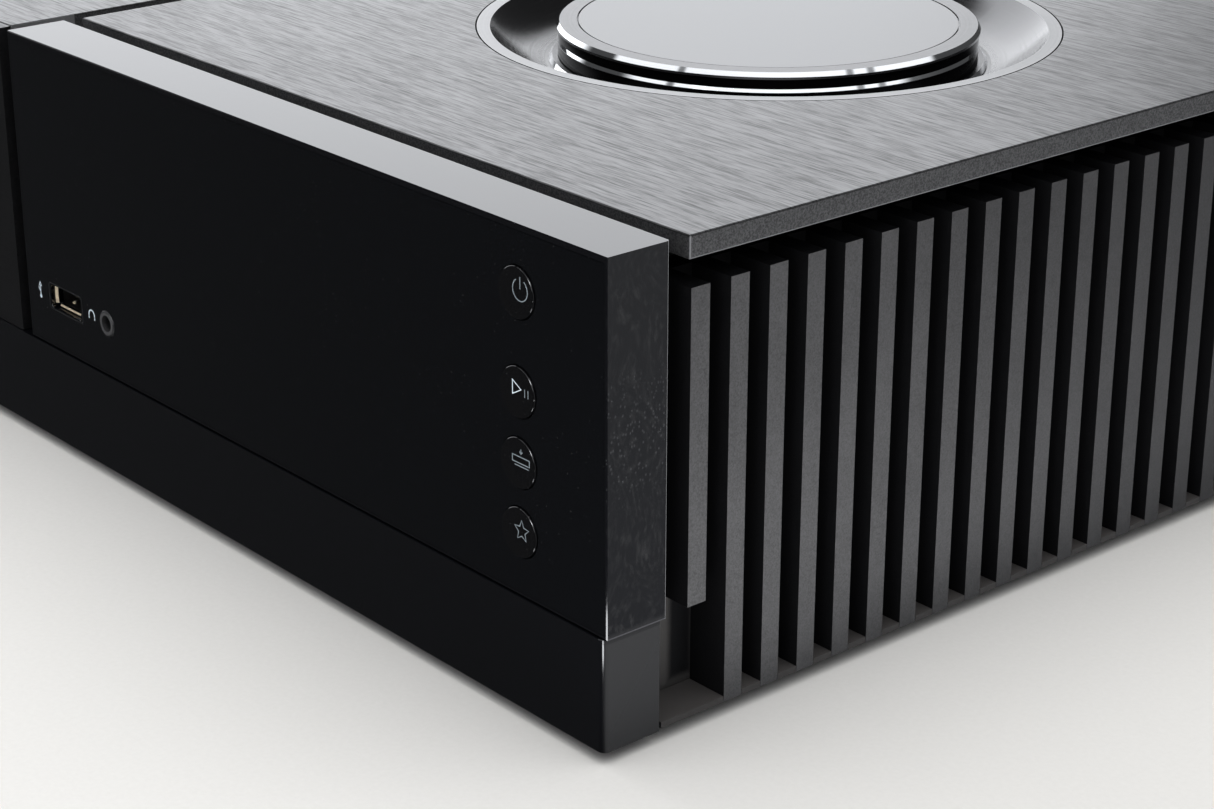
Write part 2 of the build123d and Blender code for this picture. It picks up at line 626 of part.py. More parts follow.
with BuildPart() as usb_tongue:
    slab(
        USB_X - 5.6, USB_X + 5.6, USB_FRONT + 1.5, USB_BACK - USB_SKIN,
        SOCKET_Z + 0.2, SOCKET_Z + 2.0,
    )
    slab(
        USB_X - 6.2, USB_X + 6.2, USB_BACK - 2.5, USB_BACK - USB_SKIN,
        SOCKET_Z - 2.5, SOCKET_Z + 2.5,
    )
keep(usb_tongue, "usb_tongue")

with BuildPart() as headphone_jack:
    rod_y(JACK_X, SOCKET_Z, FACE_Y - JACK_PROUD, FACE_Y + GLASS_THICK + 0.3, JACK_RADIUS)
    chamfer(headphone_jack.faces().sort_by(Axis.Y)[0].edges(), JACK_PROUD)
    slab(
        JACK_X - JACK_BODY / 2, JACK_X + JACK_BODY / 2, LCD_FRONT, FACE_Y + JACK_LENGTH + CUT,
        SOCKET_Z - JACK_BODY / 2, SOCKET_Z + JACK_BODY / 2,
    )
    rod_y(JACK_X, SOCKET_Z, FACE_Y - CUT, FACE_Y + JACK_LENGTH, JACK_BORE, Mode.SUBTRACT)
keep(headphone_jack, "headphone_jack")


# =============================================================== disc drive
FLOOR_TOP = LOADER_FLOOR + 2.5
WALL_TOP = 66.0
GEAR_BOTTOM = 44.0
WHEEL_TOP = 48.5
RACK_BOTTOM = 50.0
SCREW_X = DRIVE_X + SCREW_OFFSET
ROD_FRONT = LENS_Y - 11.0
ROD_BACK = 29.0
SLED_FRONT = LENS_Y - 8.0
SLED_BACK = LENS_Y + 24.0
SCREW_TIP = ROD_BACK + 9.0
MOTOR_FACE = ROD_BACK + 4.5
LOADER_WALL = 2.5
TAB_BOTTOM = TRAY_RIM + 0.4
BLOCK_THICK = 3.0
MOTOR_SHAFT = 1.0
SPINDLE_TOP = 49.0
HUB_SHAFT_END = 44.3
PLATTER_BOTTOM = 54.0
PLATTER_TOP = 56.0
PLATTER_RADIUS = 15.5
CONE_HEIGHT = 2.2
SLED_BOTTOM = 40.0
SLED_TOP = 50.5
HEAD_TOP = 53.5
PUCK_BOTTOM = 61.2
PUCK_TOP = 63.5
BRIDGE_TOP = WALL_TOP + 1.5

with BuildPart() as loader_frame:
    slab(LOADER_LEFT, LOADER_RIGHT, LOADER_FRONT, LOADER_BACK, LOADER_FLOOR, FLOOR_TOP)
    slab(LOADER_LEFT, LOADER_LEFT + LOADER_WALL, LOADER_FRONT, LOADER_BACK, FLOOR_TOP, WALL_TOP)
    slab(LOADER_RIGHT - LOADER_WALL, LOADER_RIGHT, LOADER_FRONT, LOADER_BACK, FLOOR_TOP, WALL_TOP)
    slab(LOADER_LEFT, LOADER_RIGHT, LOADER_BACK - LOADER_WALL, LOADER_BACK, FLOOR_TOP, WALL_TOP)
    # Rails that carry the tray, and the tabs that hold it down.
    for x0, x1 in ((DRIVE_X - 60, DRIVE_X - 54), (DRIVE_X + 48, DRIVE_X + 54)):
        slab(x0, x1, LOADER_FRONT, 40, FLOOR_TOP, TRAY_UNDERSIDE - 0.3)
    slab(LOADER_LEFT, DRIVE_X - 61, -112, -100, TAB_BOTTOM, TAB_BOTTOM + 2)
    slab(DRIVE_X + 61, LOADER_RIGHT, -112, -100, TAB_BOTTOM, TAB_BOTTOM + 2)
    # Blocks that hold the guide rods and the feed screw.
    for x in (DRIVE_X - ROD_SPREAD, DRIVE_X + ROD_SPREAD, SCREW_X):
        for y0 in (ROD_FRONT - 1, ROD_BACK - BLOCK_THICK):
            slab(x - 4, x + 4, y0, y0 + BLOCK_THICK, FLOOR_TOP, ROD_Z + 4)
    for x in (DRIVE_X - ROD_SPREAD, DRIVE_X + ROD_SPREAD):
        rod_y(x, ROD_Z, ROD_FRONT, ROD_BACK, ROD_RADIUS, Mode.SUBTRACT)
    rod_y(SCREW_X, ROD_Z, ROD_FRONT - 0.2, ROD_BACK + 1, SCREW_RADIUS + RUNNING_GAP, Mode.SUBTRACT)
    # Spindle post of the drive gear, and the loading motor's shaft hole.
    rod_z(GEAR_X, GEAR_Y, FLOOR_TOP, GEAR_BOTTOM - 0.2, 4)
    rod_z(GEAR_X, GEAR_Y, FLOOR_TOP, TRAY_UNDERSIDE - 0.5, 2)
    rod_z(GEAR_X, MOTOR_Y, LOADER_FLOOR - 1, FLOOR_TOP + 1, 1.6, Mode.SUBTRACT)
    for x in (LOADER_LEFT + 7, LOADER_RIGHT - 7):
        for y in (LOADER_FRONT + 6, LOADER_BACK - 7):
            rod_z(x, y, TRAY_TOP, LOADER_FLOOR, 5)
keep(loader_frame, "loader_frame")

RACK_PITCH = pi * RACK_MODULE
RACK_BACKLASH = 0.3


def rack_outline():
    """Points of the rack: a plain back edge, and teeth that face +X."""
    half = (RACK_PITCH / 2 - RACK_BACKLASH) / 2
    tip = 0.9 * RACK_MODULE
    root = 1.25 * RACK_MODULE
    slope = tan(radians(20))
    back = RACK_LINE - 5.0
    first = GEAR_Y - 2.5 * RACK_PITCH
    points = [(back, first - 2)]
    points.append((RACK_LINE - root, first - 2))
    for k in range(int((TRAY_BACK - 3 - first) / RACK_PITCH)):
        y = first + k * RACK_PITCH
        points.append((RACK_LINE - root, y - half - root * slope))
        points.append((RACK_LINE + tip, y - half + tip * slope))
        points.append((RACK_LINE + tip, y + half - tip * slope))
        points.append((RACK_LINE - root, y + half + root * slope))
    points.append((RACK_LINE - root, TRAY_BACK - 1))
    points.append((back, TRAY_BACK - 1))
    return points


TRAY_FRONT = FACE_Y + DRAWER_THICK
with BuildPart() as disc_tray:
    slab(
        DRIVE_X - TRAY_WIDTH / 2, DRIVE_X + TRAY_WIDTH / 2, TRAY_FRONT, TRAY_BACK,
        TRAY_UNDERSIDE, TRAY_RIM,
    )
    rod_z(DRIVE_X, DISC_Y, TRAY_RIM - 2.0, TRAY_RIM + 1, DISC_RADIUS, Mode.SUBTRACT)
    rod_z(DRIVE_X, DISC_Y, TRAY_RIM - 2.8, TRAY_RIM + 1, SMALL_DISC_RADIUS, Mode.SUBTRACT)
    rod_z(DRIVE_X, DISC_Y, TRAY_UNDERSIDE - 1, TRAY_RIM + 1, PICKUP_SLOT / 2, Mode.SUBTRACT)
    slab(
        DRIVE_X - PICKUP_SLOT / 2, DRIVE_X + PICKUP_SLOT / 2, DISC_Y, TRAY_BACK + 1,
        TRAY_UNDERSIDE - 1, TRAY_RIM + 1, Mode.SUBTRACT,
    )
    with BuildSketch(Plane.XY.offset(RACK_BOTTOM)):
        Polygon(*rack_outline(), align=None)
    extrude(amount=TRAY_UNDERSIDE - RACK_BOTTOM)
keep(disc_tray, "disc_tray")

with BuildPart() as drawer_front:
    slab(
        DRIVE_X - DRAWER_WIDTH / 2, DRIVE_X + DRAWER_WIDTH / 2, FACE_Y, TRAY_FRONT,
        DRAWER_BOTTOM, DRAWER_TOP,
    )
    chamfer(drawer_front.faces().sort_by(Axis.Y)[0].edges(), 0.3)
keep(drawer_front, "drawer_front")

# The large wheel takes the motor pinion and the small one drives the rack.
with BuildPart() as drive_gear:
    with BuildSketch(Plane.XY.offset(GEAR_BOTTOM)):
        with Locations((GEAR_X, GEAR_Y)):
            Polygon(*gear_outline(WHEEL_TEETH, WHEEL_MODULE, 0.2, 0), align=None)
    extrude(amount=WHEEL_TOP - GEAR_BOTTOM)
    with BuildSketch(Plane.XY.offset(WHEEL_TOP)):
        with Locations((GEAR_X, GEAR_Y)):
            Polygon(*gear_outline(DRIVE_TEETH, RACK_MODULE, RACK_BACKLASH, 0), align=None)
    extrude(amount=TRAY_UNDERSIDE - 0.2 - WHEEL_TOP)
    rod_z(GEAR_X, GEAR_Y, GEAR_BOTTOM - 1, TRAY_UNDERSIDE, 2 + RUNNING_GAP, Mode.SUBTRACT)
keep(drive_gear, "drive_gear")

with BuildPart() as motor_pinion:
    half_step = pi / PINION_TEETH
    facing = -pi / 2 + half_step
    with BuildSketch(Plane.XY.offset(GEAR_BOTTOM)):
        with Locations((GEAR_X, MOTOR_Y)):
            Polygon(*gear_outline(PINION_TEETH, WHEEL_MODULE, 0.2, facing), align=None)
    extrude(amount=WHEEL_TOP - 0.3 - GEAR_BOTTOM)
    rod_z(GEAR_X, MOTOR_Y, LOADER_FLOOR - 6, GEAR_BOTTOM + 1, MOTOR_SHAFT)
keep(motor_pinion, "motor_pinion")

with BuildPart() as loading_motor:
    rod_z(GEAR_X, MOTOR_Y, LOADER_FLOOR - 22, LOADER_FLOOR, 10)
    rod_z(GEAR_X, MOTOR_Y, LOADER_FLOOR - 6.3, LOADER_FLOOR + CUT, MOTOR_SHAFT + RUNNING_GAP, Mode.SUBTRACT)
keep(loading_motor, "loading_motor")

with BuildPart() as spindle_motor:
    rod_z(DRIVE_X, DISC_Y, FLOOR_TOP, SPINDLE_TOP, 9.5)
    rod_z(DRIVE_X, DISC_Y, HUB_SHAFT_END - 0.3, SPINDLE_TOP + CUT, MOTOR_SHAFT + RUNNING_GAP, Mode.SUBTRACT)
keep(spindle_motor, "spindle_motor")

with BuildPart() as turntable_hub:
    rod_z(DRIVE_X, DISC_Y, HUB_SHAFT_END, PLATTER_BOTTOM + 0.5, MOTOR_SHAFT)
    rod_z(DRIVE_X, DISC_Y, PLATTER_BOTTOM, PLATTER_TOP, PLATTER_RADIUS)
    with Locations((DRIVE_X, DISC_Y, PLATTER_TOP + CONE_HEIGHT / 2)):
        Cone(7.4, 6.4, CONE_HEIGHT)
    rod_z(DRIVE_X, DISC_Y, SPINDLE_TOP + 1, PLATTER_BOTTOM + 0.2, 5.0)
keep(turntable_hub, "turntable_hub")

with BuildPart() as clamp_bridge:
    slab(LOADER_LEFT, LOADER_RIGHT, DISC_Y - 15, DISC_Y + 15, WALL_TOP, BRIDGE_TOP)
    rod_z(DRIVE_X, DISC_Y, WALL_TOP - 1, WALL_TOP + 2, 8.0, Mode.SUBTRACT)
keep(clamp_bridge, "clamp_bridge")

with BuildPart() as clamp_puck:
    rod_z(DRIVE_X, DISC_Y, PUCK_BOTTOM, PUCK_TOP, 15.0)
    rod_z(DRIVE_X, DISC_Y, PUCK_TOP, BRIDGE_TOP + 0.3, 7.0)
    rod_z(DRIVE_X, DISC_Y, BRIDGE_TOP + 0.3, BRIDGE_TOP + 1.8, 12.0)
    rod_z(DRIVE_X, DISC_Y, PUCK_BOTTOM - CUT, PUCK_BOTTOM + 1.2, 6.8, Mode.SUBTRACT)
keep(clamp_puck, "clamp_puck")

with BuildPart() as pickup_sled:
    slab(DRIVE_X - 29, DRIVE_X + 29, SLED_FRONT, SLED_BACK, SLED_BOTTOM, SLED_TOP)
    slab(DRIVE_X - 14, DRIVE_X + 14, SLED_FRONT, SLED_BACK - 6, SLED_TOP, HEAD_TOP)
    slab(SCREW_X - 4.5, DRIVE_X - 29, SLED_FRONT + 8, SLED_FRONT + 18, 41, 49)
    for x in (DRIVE_X - ROD_SPREAD, DRIVE_X + ROD_SPREAD):
        rod_y(x, ROD_Z, SLED_FRONT - 1, SLED_BACK + 1, ROD_RADIUS + RUNNING_GAP, Mode.SUBTRACT)
    rod_y(SCREW_X, ROD_Z, SLED_FRONT, SLED_BACK, SCREW_RADIUS + RUNNING_GAP, Mode.SUBTRACT)
keep(pickup_sled, "pickup_sled")

with BuildPart() as pickup_lens:
    rod_z(DRIVE_X, LENS_Y, HEAD_TOP, HEAD_TOP + 1.0, 4.5)
    rod_z(DRIVE_X, LENS_Y, HEAD_TOP + 1.0, HEAD_TOP + 1.7, 2.4)
keep(pickup_lens, "pickup_lens")

with BuildPart() as guide_rods:
    for x in (DRIVE_X - ROD_SPREAD, DRIVE_X + ROD_SPREAD):
        rod_y(x, ROD_Z, ROD_FRONT, ROD_BACK, ROD_RADIUS)
keep(guide_rods, "guide_rods")

with BuildPart() as sled_screw:
    rod_y(SCREW_X, ROD_Z, ROD_FRONT, MOTOR_FACE - 0.2, SCREW_RADIUS)
    rod_y(SCREW_X, ROD_Z, MOTOR_FACE - 0.3, SCREW_TIP, MOTOR_SHAFT)
keep(sled_screw, "sled_screw")

with BuildPart() as sled_motor:
    rod_y(SCREW_X, ROD_Z, MOTOR_FACE, MOTOR_FACE + 20, 8.0)
    rod_y(SCREW_X, ROD_Z, MOTOR_FACE - CUT, SCREW_TIP + 0.3, MOTOR_SHAFT + RUNNING_GAP, Mode.SUBTRACT)
keep(sled_motor, "sled_motor")


# ============================================================== electronics
BOARD_Z = 12.0


def circuit_board(x0, x1, y0, y1):
    """A board on four corner pillars that stand on the tray's floor."""
    slab(x0, x1, y0, y1, BOARD_Z, BOARD_Z + BOARD_THICK)
    for x in (x0 + 6, x1 - 6):
        for y in (y0 + 6, y1 - 6):
            rod_z(x, y, TRAY_TOP, BOARD_Z, 3)


BOARD_TOP = BOARD_Z + BOARD_THICK
with BuildPart() as main_board:
    circuit_board(-195, -20, 66, 104)
    with Locations((-150, 85, BOARD_TOP + 5)):
        Box(30, 30, 10)
        with GridLocations(5, 0, 6, 1):
            Box(2, 31, 8, mode=Mode.SUBTRACT)
    for x in (-110, -88, -66):
        slab(x - 7, x + 7, 76, 96, BOARD_TOP, BOARD_TOP + 2)
    for x in (-46, -34):
        rod_z(x, 90, BOARD_TOP, BOARD_TOP + 12, 5)
keep(main_board, "main_board")

with BuildPart() as power_supply_board:
    circuit_board(-10, 58, -52, 62)
    for x in (8, 42):
        for y in (-32, 4, 40):
            rod_z(x, y, BOARD_TOP, BOARD_TOP + 42, 15)
    slab(18, 32, -20, -6, BOARD_TOP, BOARD_TOP + 20)
    slab(18, 32, 16, 30, BOARD_TOP, BOARD_TOP + 20)
keep(power_supply_board, "power_supply_board")

TOROID_X = 116.0
TOROID_Y = 46.0
TOROID_RADIUS = 52.0
TOROID_HEIGHT = 46.0
TOROID_TOP = TRAY_TOP + TOROID_HEIGHT
PLATE_TOP = TOROID_TOP + 2.0
with BuildPart() as power_transformer:
    rod_z(TOROID_X, TOROID_Y, TRAY_TOP, TOROID_TOP, TOROID_RADIUS)
    fillet(power_transformer.edges().filter_by(GeomType.CIRCLE), 9)
    rod_z(TOROID_X, TOROID_Y, TRAY_TOP - CUT, TOROID_TOP + CUT, 17, Mode.SUBTRACT)
keep(power_transformer, "power_transformer")

with BuildPart() as transformer_clamp:
    rod_z(TOROID_X, TOROID_Y, TOROID_TOP, PLATE_TOP, 30)
    rod_z(TOROID_X, TOROID_Y, TRAY_TOP, PLATE_TOP + 3, 4)
    with BuildSketch(Plane.XY.offset(PLATE_TOP)):
        with Locations((TOROID_X, TOROID_Y)):
            RegularPolygon(7.5, 6)
    extrude(amount=5)
keep(transformer_clamp, "transformer_clamp")

with BuildPart() as amplifier_board:
    circuit_board(66, 194, -110, -32)
    for x in (90, 120, 150):
        rod_z(x, -92, BOARD_TOP, BOARD_TOP + 26, 9)
        slab(x - 8, x + 8, -66, -50, BOARD_TOP, BOARD_TOP + 16)
keep(amplifier_board, "amplifier_board")

BODY_FACE = SINK_INNER - SHEET - 5.0
with BuildPart() as power_transistors:
    for y in (-98, -76, -54, -38):
        slab(BODY_FACE, BODY_FACE + 5, y - 7, y + 7, BOARD_TOP + 4, BOARD_TOP + 24)
        for offset in (-4, 0, 4):
            slab(BODY_FACE, BODY_FACE + 2.5, y + offset - 0.6, y + offset + 0.6, BOARD_TOP, BOARD_TOP + 5)
keep(power_transistors, "power_transistors")


# ============================================================= rear sockets
with BuildPart() as mains_inlet:
    slab(
        INLET_X - INLET_WIDTH / 2, INLET_X + INLET_WIDTH / 2, REAR_FACE - 20, REAR_FACE,
        SOCKET_ROW - INLET_HEIGHT / 2, SOCKET_ROW + INLET_HEIGHT / 2,
    )
    slab(INLET_X - 16, INLET_X + 16, REAR_FACE, REAR_FACE + 2.5, SOCKET_ROW - 12, SOCKET_ROW + 12)
    slab(
        INLET_X - 11, INLET_X + 11, REAR_FACE - 14, REAR_FACE + 3,
        SOCKET_ROW - 7.5, SOCKET_ROW + 7.5, Mode.SUBTRACT,
    )
    for x, z in ((-7, -1.5), (0, 1.5), (7, -1.5)):
        slab(
            INLET_X + x - 1, INLET_X + x + 1, REAR_FACE - 15, REAR_FACE - 3,
            SOCKET_ROW + z - 2, SOCKET_ROW + z + 2,
        )
keep(mains_inlet, "mains_inlet")

PIVOT_Y = REAR_FACE - 1.0
with BuildPart() as rocker_housing:
    slab(
        ROCKER_X - ROCKER_WIDTH / 2, ROCKER_X + ROCKER_WIDTH / 2, REAR_FACE - 14, REAR_FACE,
        SOCKET_ROW - ROCKER_HEIGHT / 2, SOCKET_ROW + ROCKER_HEIGHT / 2,
    )
    slab(ROCKER_X - 7.8, ROCKER_X + 7.8, REAR_FACE, REAR_FACE + 1.2, SOCKET_ROW - 11, SOCKET_ROW + 11)
    slab(
        ROCKER_X - 5.2, ROCKER_X + 5.2, REAR_FACE - 9, REAR_FACE + 2,
        SOCKET_ROW - 8.4, SOCKET_ROW + 8.4, Mode.SUBTRACT,
    )
    with Locations((ROCKER_X, PIVOT_Y, SOCKET_ROW)):
        Cylinder(1 + RUNNING_GAP, 12, rotation=(0, 90, 0), mode=Mode.SUBTRACT)
keep(rocker_housing, "rocker_housing")

ROCKER_SIDE = Plane(origin=(ROCKER_X, PIVOT_Y, SOCKET_ROW), x_dir=(0, 1, 0), z_dir=(1, 0, 0))
with BuildPart() as mains_rocker:
    with BuildSketch(ROCKER_SIDE):
        Polygon(
            (-3, -7.0), (3.4, -7.6), (2.2, 0), (3.4, 7.6), (-3, 7.0),
            rotation=-ROCKER_TILT, align=None,
        )
    extrude(amount=5, both=True)
    with Locations((ROCKER_X, PIVOT_Y, SOCKET_ROW)):
        Cylinder(1, 11.6, rotation=(0, 90, 0))
keep(mains_rocker, "mains_rocker")

PHONO_SHOULDER = REAR_FACE + 1.2
PHONO_END = PHONO_SHOULDER + 7.5
with BuildPart() as phono_sockets:
    slab(PHONO_XS[-1] - 9, PHONO_XS[0] + 9, REAR_INNER - 12, REAR_INNER, PHONO_ZS[0] - 9, PHONO_ZS[1] + 9)
    for x in PHONO_XS:
        for z in PHONO_ZS:
            rod_y(x, z, REAR_INNER, PHONO_SHOULDER, PHONO_COLLAR)
            rod_y(x, z, PHONO_SHOULDER, PHONO_END, PHONO_RADIUS)
            rod_y(x, z, REAR_FACE - 2, PHONO_END + CUT, PHONO_BORE, Mode.SUBTRACT)
keep(phono_sockets, "phono_sockets")

# Four equal sockets, each one clamped to the back plate by itself.
with BuildPart() as speaker_sockets:
    for x in SPEAKER_XS:
        slab(x - 8.5, x + 8.5, REAR_INNER - 14, REAR_INNER, SOCKET_ROW - 10, SOCKET_ROW + 10)
        rod_y(x, SOCKET_ROW, REAR_INNER, BACK, SPEAKER_BARREL)
        rod_y(x, SOCKET_ROW, BACK - 20, BACK + CUT, SPEAKER_BORE, Mode.SUBTRACT)
keep(speaker_sockets, "speaker_sockets")

# Two optical sockets and a network socket, soldered in one row.
SOCKET_LIP = REAR_FACE + 1.5
with BuildPart() as digital_sockets:
    for x in OPTICAL_XS:
        slab(
            x - OPTICAL_SIZE / 2, x + OPTICAL_SIZE / 2, REAR_INNER - 12, SOCKET_LIP,
            SOCKET_ROW - OPTICAL_SIZE / 2, SOCKET_ROW + OPTICAL_SIZE / 2,
        )
        slab(x - 3, x + 3, REAR_FACE, REAR_FACE + 2, SOCKET_ROW - 3, SOCKET_ROW + 3, Mode.SUBTRACT)
    slab(
        NETWORK_X - NETWORK_WIDTH / 2, NETWORK_X + NETWORK_WIDTH / 2, REAR_FACE - 20, SOCKET_LIP,
        SOCKET_ROW - NETWORK_HEIGHT / 2, SOCKET_ROW + NETWORK_HEIGHT / 2,
    )
    slab(
        NETWORK_X - 5.9, NETWORK_X + 5.9, REAR_FACE - 13, REAR_FACE + 2,
        SOCKET_ROW - 4, SOCKET_ROW + 4, Mode.SUBTRACT,
    )
keep(digital_sockets, "digital_sockets")
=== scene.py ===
import json
import math

import bmesh
import bpy
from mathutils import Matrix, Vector


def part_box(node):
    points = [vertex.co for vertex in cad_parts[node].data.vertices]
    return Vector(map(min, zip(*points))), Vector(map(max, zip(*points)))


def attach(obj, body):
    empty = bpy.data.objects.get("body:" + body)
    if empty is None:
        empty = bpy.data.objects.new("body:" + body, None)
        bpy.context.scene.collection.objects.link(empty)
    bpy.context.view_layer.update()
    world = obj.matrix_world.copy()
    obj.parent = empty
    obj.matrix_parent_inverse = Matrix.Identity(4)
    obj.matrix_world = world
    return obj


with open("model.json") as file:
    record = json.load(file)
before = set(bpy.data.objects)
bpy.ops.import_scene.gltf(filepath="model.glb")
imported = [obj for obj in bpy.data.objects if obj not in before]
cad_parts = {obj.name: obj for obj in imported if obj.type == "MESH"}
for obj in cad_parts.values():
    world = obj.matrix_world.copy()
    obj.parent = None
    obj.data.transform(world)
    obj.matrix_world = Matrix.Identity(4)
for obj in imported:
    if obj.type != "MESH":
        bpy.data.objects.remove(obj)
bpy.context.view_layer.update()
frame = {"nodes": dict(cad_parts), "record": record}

MM = 0.001
GRAIN = (0.3, 0.7)  # the range that noise mostly stays in
DISH_LOW, DISH_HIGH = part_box("dial_dish")
DIAL_CENTRE = ((DISH_LOW.x + DISH_HIGH.x) / 2, (DISH_LOW.y + DISH_HIGH.y) / 2, 0)


# ------------------------------------------------------------ shader helpers
def node(tree, kind, links=None, **values):
    """Make a shader node. Values set sockets or properties; links join other nodes' outputs."""
    made = tree.nodes.new(kind)
    for key, value in values.items():
        if hasattr(made, key) and key not in made.inputs:
            setattr(made, key, value)
        else:
            made.inputs[key].default_value = value
    for key, source in (links or {}).items():
        tree.links.new(source, made.inputs[key])
    return made


def math_node(tree, operation, a, b=None):
    """One maths node; a and b are outputs or numbers."""
    made = tree.nodes.new("ShaderNodeMath")
    made.operation = operation
    for index, value in enumerate((a, b)):
        if value is None:
            continue
        if isinstance(value, (int, float)):
            made.inputs[index].default_value = value
        else:
            tree.links.new(value, made.inputs[index])
    return made.outputs[0]


def times(tree, *values):
    """Product of outputs and numbers, the first of them an output."""
    result = values[0]
    for value in values[1:]:
        result = math_node(tree, "MULTIPLY", result, value)
    return result


def plus(tree, *values):
    """Sum of outputs and numbers, the first of them an output."""
    result = values[0]
    for value in values[1:]:
        result = math_node(tree, "ADD", result, value)
    return result


def maximum(tree, *values):
    """The largest of several outputs."""
    result = values[0]
    for value in values[1:]:
        result = math_node(tree, "MAXIMUM", result, value)
    return result


def span(tree, value, low, high, to_low=0.0, to_high=1.0, smooth=False):
    """Map a value from one range to another, clamped."""
    made = tree.nodes.new("ShaderNodeMapRange")
    made.interpolation_type = "SMOOTHSTEP" if smooth else "LINEAR"
    tree.links.new(value, made.inputs["Value"])
    made.inputs["From Min"].default_value = low
    made.inputs["From Max"].default_value = high
    made.inputs["To Min"].default_value = to_low
    made.inputs["To Max"].default_value = to_high
    return made.outputs["Result"]


def noise(tree, coords, scale, detail=4.0, roughness=0.55, stretch=(1, 1, 1)):
    """Noise over object coordinates, stretched along an axis if asked."""
    made = tree.nodes.new("ShaderNodeTexNoise")
    made.inputs["Scale"].default_value = scale
    made.inputs["Detail"].default_value = detail
    made.inputs["Roughness"].default_value = roughness
    tree.links.new(mapped(tree, coords, stretch), made.inputs["Vector"])
    return made.outputs["Fac"]


def mapped(tree, coords, stretch):
    """Coordinates multiplied axis by axis."""
    made = node(tree, "ShaderNodeMapping", {"Vector": coords})
    made.inputs["Scale"].default_value = stretch
    return made.outputs["Vector"]


def mix(tree, factor, dark, pale):
    """Blend two colours, each an output or an RGB triple."""
    made = tree.nodes.new("ShaderNodeMix")
    made.data_type = "RGBA"
    tree.links.new(factor, made.inputs[0])
    for index, value in ((6, dark), (7, pale)):
        if isinstance(value, tuple):
            made.inputs[index].default_value = (*value, 1.0)
        else:
            tree.links.new(value, made.inputs[index])
    return made.outputs[2]


def blend(tree, factor, low, high):
    """Blend two numbers or outputs by a factor output."""
    made = tree.nodes.new("ShaderNodeMix")
    made.data_type = "FLOAT"
    tree.links.new(factor, made.inputs[0])
    for index, value in ((2, low), (3, high)):
        if isinstance(value, (int, float)):
            made.inputs[index].default_value = value
        else:
            tree.links.new(value, made.inputs[index])
    return made.outputs[0]


def scaled(colour, factor):
    """A colour times a factor, at most white."""
    return tuple(min(1.0, c * factor) for c in colour)


def lifted(colour, amount):
    """A colour made paler by the same amount in red, green and blue."""
    return tuple(c + amount for c in colour)


def grainy(tree, grain, colour, dark, pale, low=GRAIN[0], high=GRAIN[1]):
    """A colour that varies with a grain, from dark to pale times its own strength."""
    return mix(tree, span(tree, grain, low, high), scaled(colour, dark), scaled(colour, pale))


def bump(tree, height, depth):
    """A bump whose height is in millimetres."""
    made = node(tree, "ShaderNodeBump", {"Height": height}, Distance=depth * MM)
    return made.outputs["Normal"]


def xyz(tree, vector):
    """The X, Y and Z outputs of a vector."""
    return node(tree, "ShaderNodeSeparateXYZ", {"Vector": vector}).outputs


def sideways(tree, axes, full=0.8):
    """1 on faces that look along X and 0 on those that look along Y or Z."""
    return span(tree, math_node(tree, "ABSOLUTE", axes["X"]), 0.6, full)


def distance_from(tree, place, centre, across):
    """Distance from an axis through centre; across holds 1 for each direction that counts."""
    away = node(tree, "ShaderNodeVectorMath", {0: place}, operation="SUBTRACT")
    away.inputs[1].default_value = centre
    flat = node(tree, "ShaderNodeVectorMath", {0: away.outputs["Vector"]}, operation="MULTIPLY")
    flat.inputs[1].default_value = across
    length = node(tree, "ShaderNodeVectorMath", {0: flat.outputs["Vector"]}, operation="LENGTH")
    return length.outputs["Value"]


def material(name, **sockets):
    """A new principled material; returns it with its tree, shader and object coordinates."""
    made = bpy.data.materials.new(name)
    made.use_nodes = True
    tree = made.node_tree
    shader = tree.nodes["Principled BSDF"]
    for key, value in sockets.items():
        shader.inputs[key.replace("_", " ")].default_value = value
    coords = tree.nodes.new("ShaderNodeTexCoord")
    return made, tree, shader, coords


def grained(name, colour, roughness, metallic=0.0, scale=900.0, spread=0.15, rough_spread=0.08,
            depth=0.01, stretch=(1, 1, 1), wear=0.1, coat=0.0, specular=0.5):
    """A finish with fine grain in colour, roughness and height, and slow uneven wear over it."""
    made, tree, shader, coords = material(name, Metallic=metallic, Coat_Weight=coat)
    shader.inputs["Specular IOR Level"].default_value = specular
    place = coords.outputs["Object"]
    fine = noise(tree, place, scale, 5.0, 0.6, stretch)
    slow = noise(tree, place, 28.0, 3.0, 0.5)
    amount = plus(tree, times(tree, fine, 1 - wear), times(tree, slow, wear))
    tree.links.new(grainy(tree, amount, colour, 1 - spread, 1 + spread), shader.inputs["Base Color"])
    rough = span(tree, amount, *GRAIN, max(0.02, roughness - rough_spread), min(1, roughness + rough_spread))
    tree.links.new(rough, shader.inputs["Roughness"])
    tree.links.new(bump(tree, fine, depth), shader.inputs["Normal"])
    return made


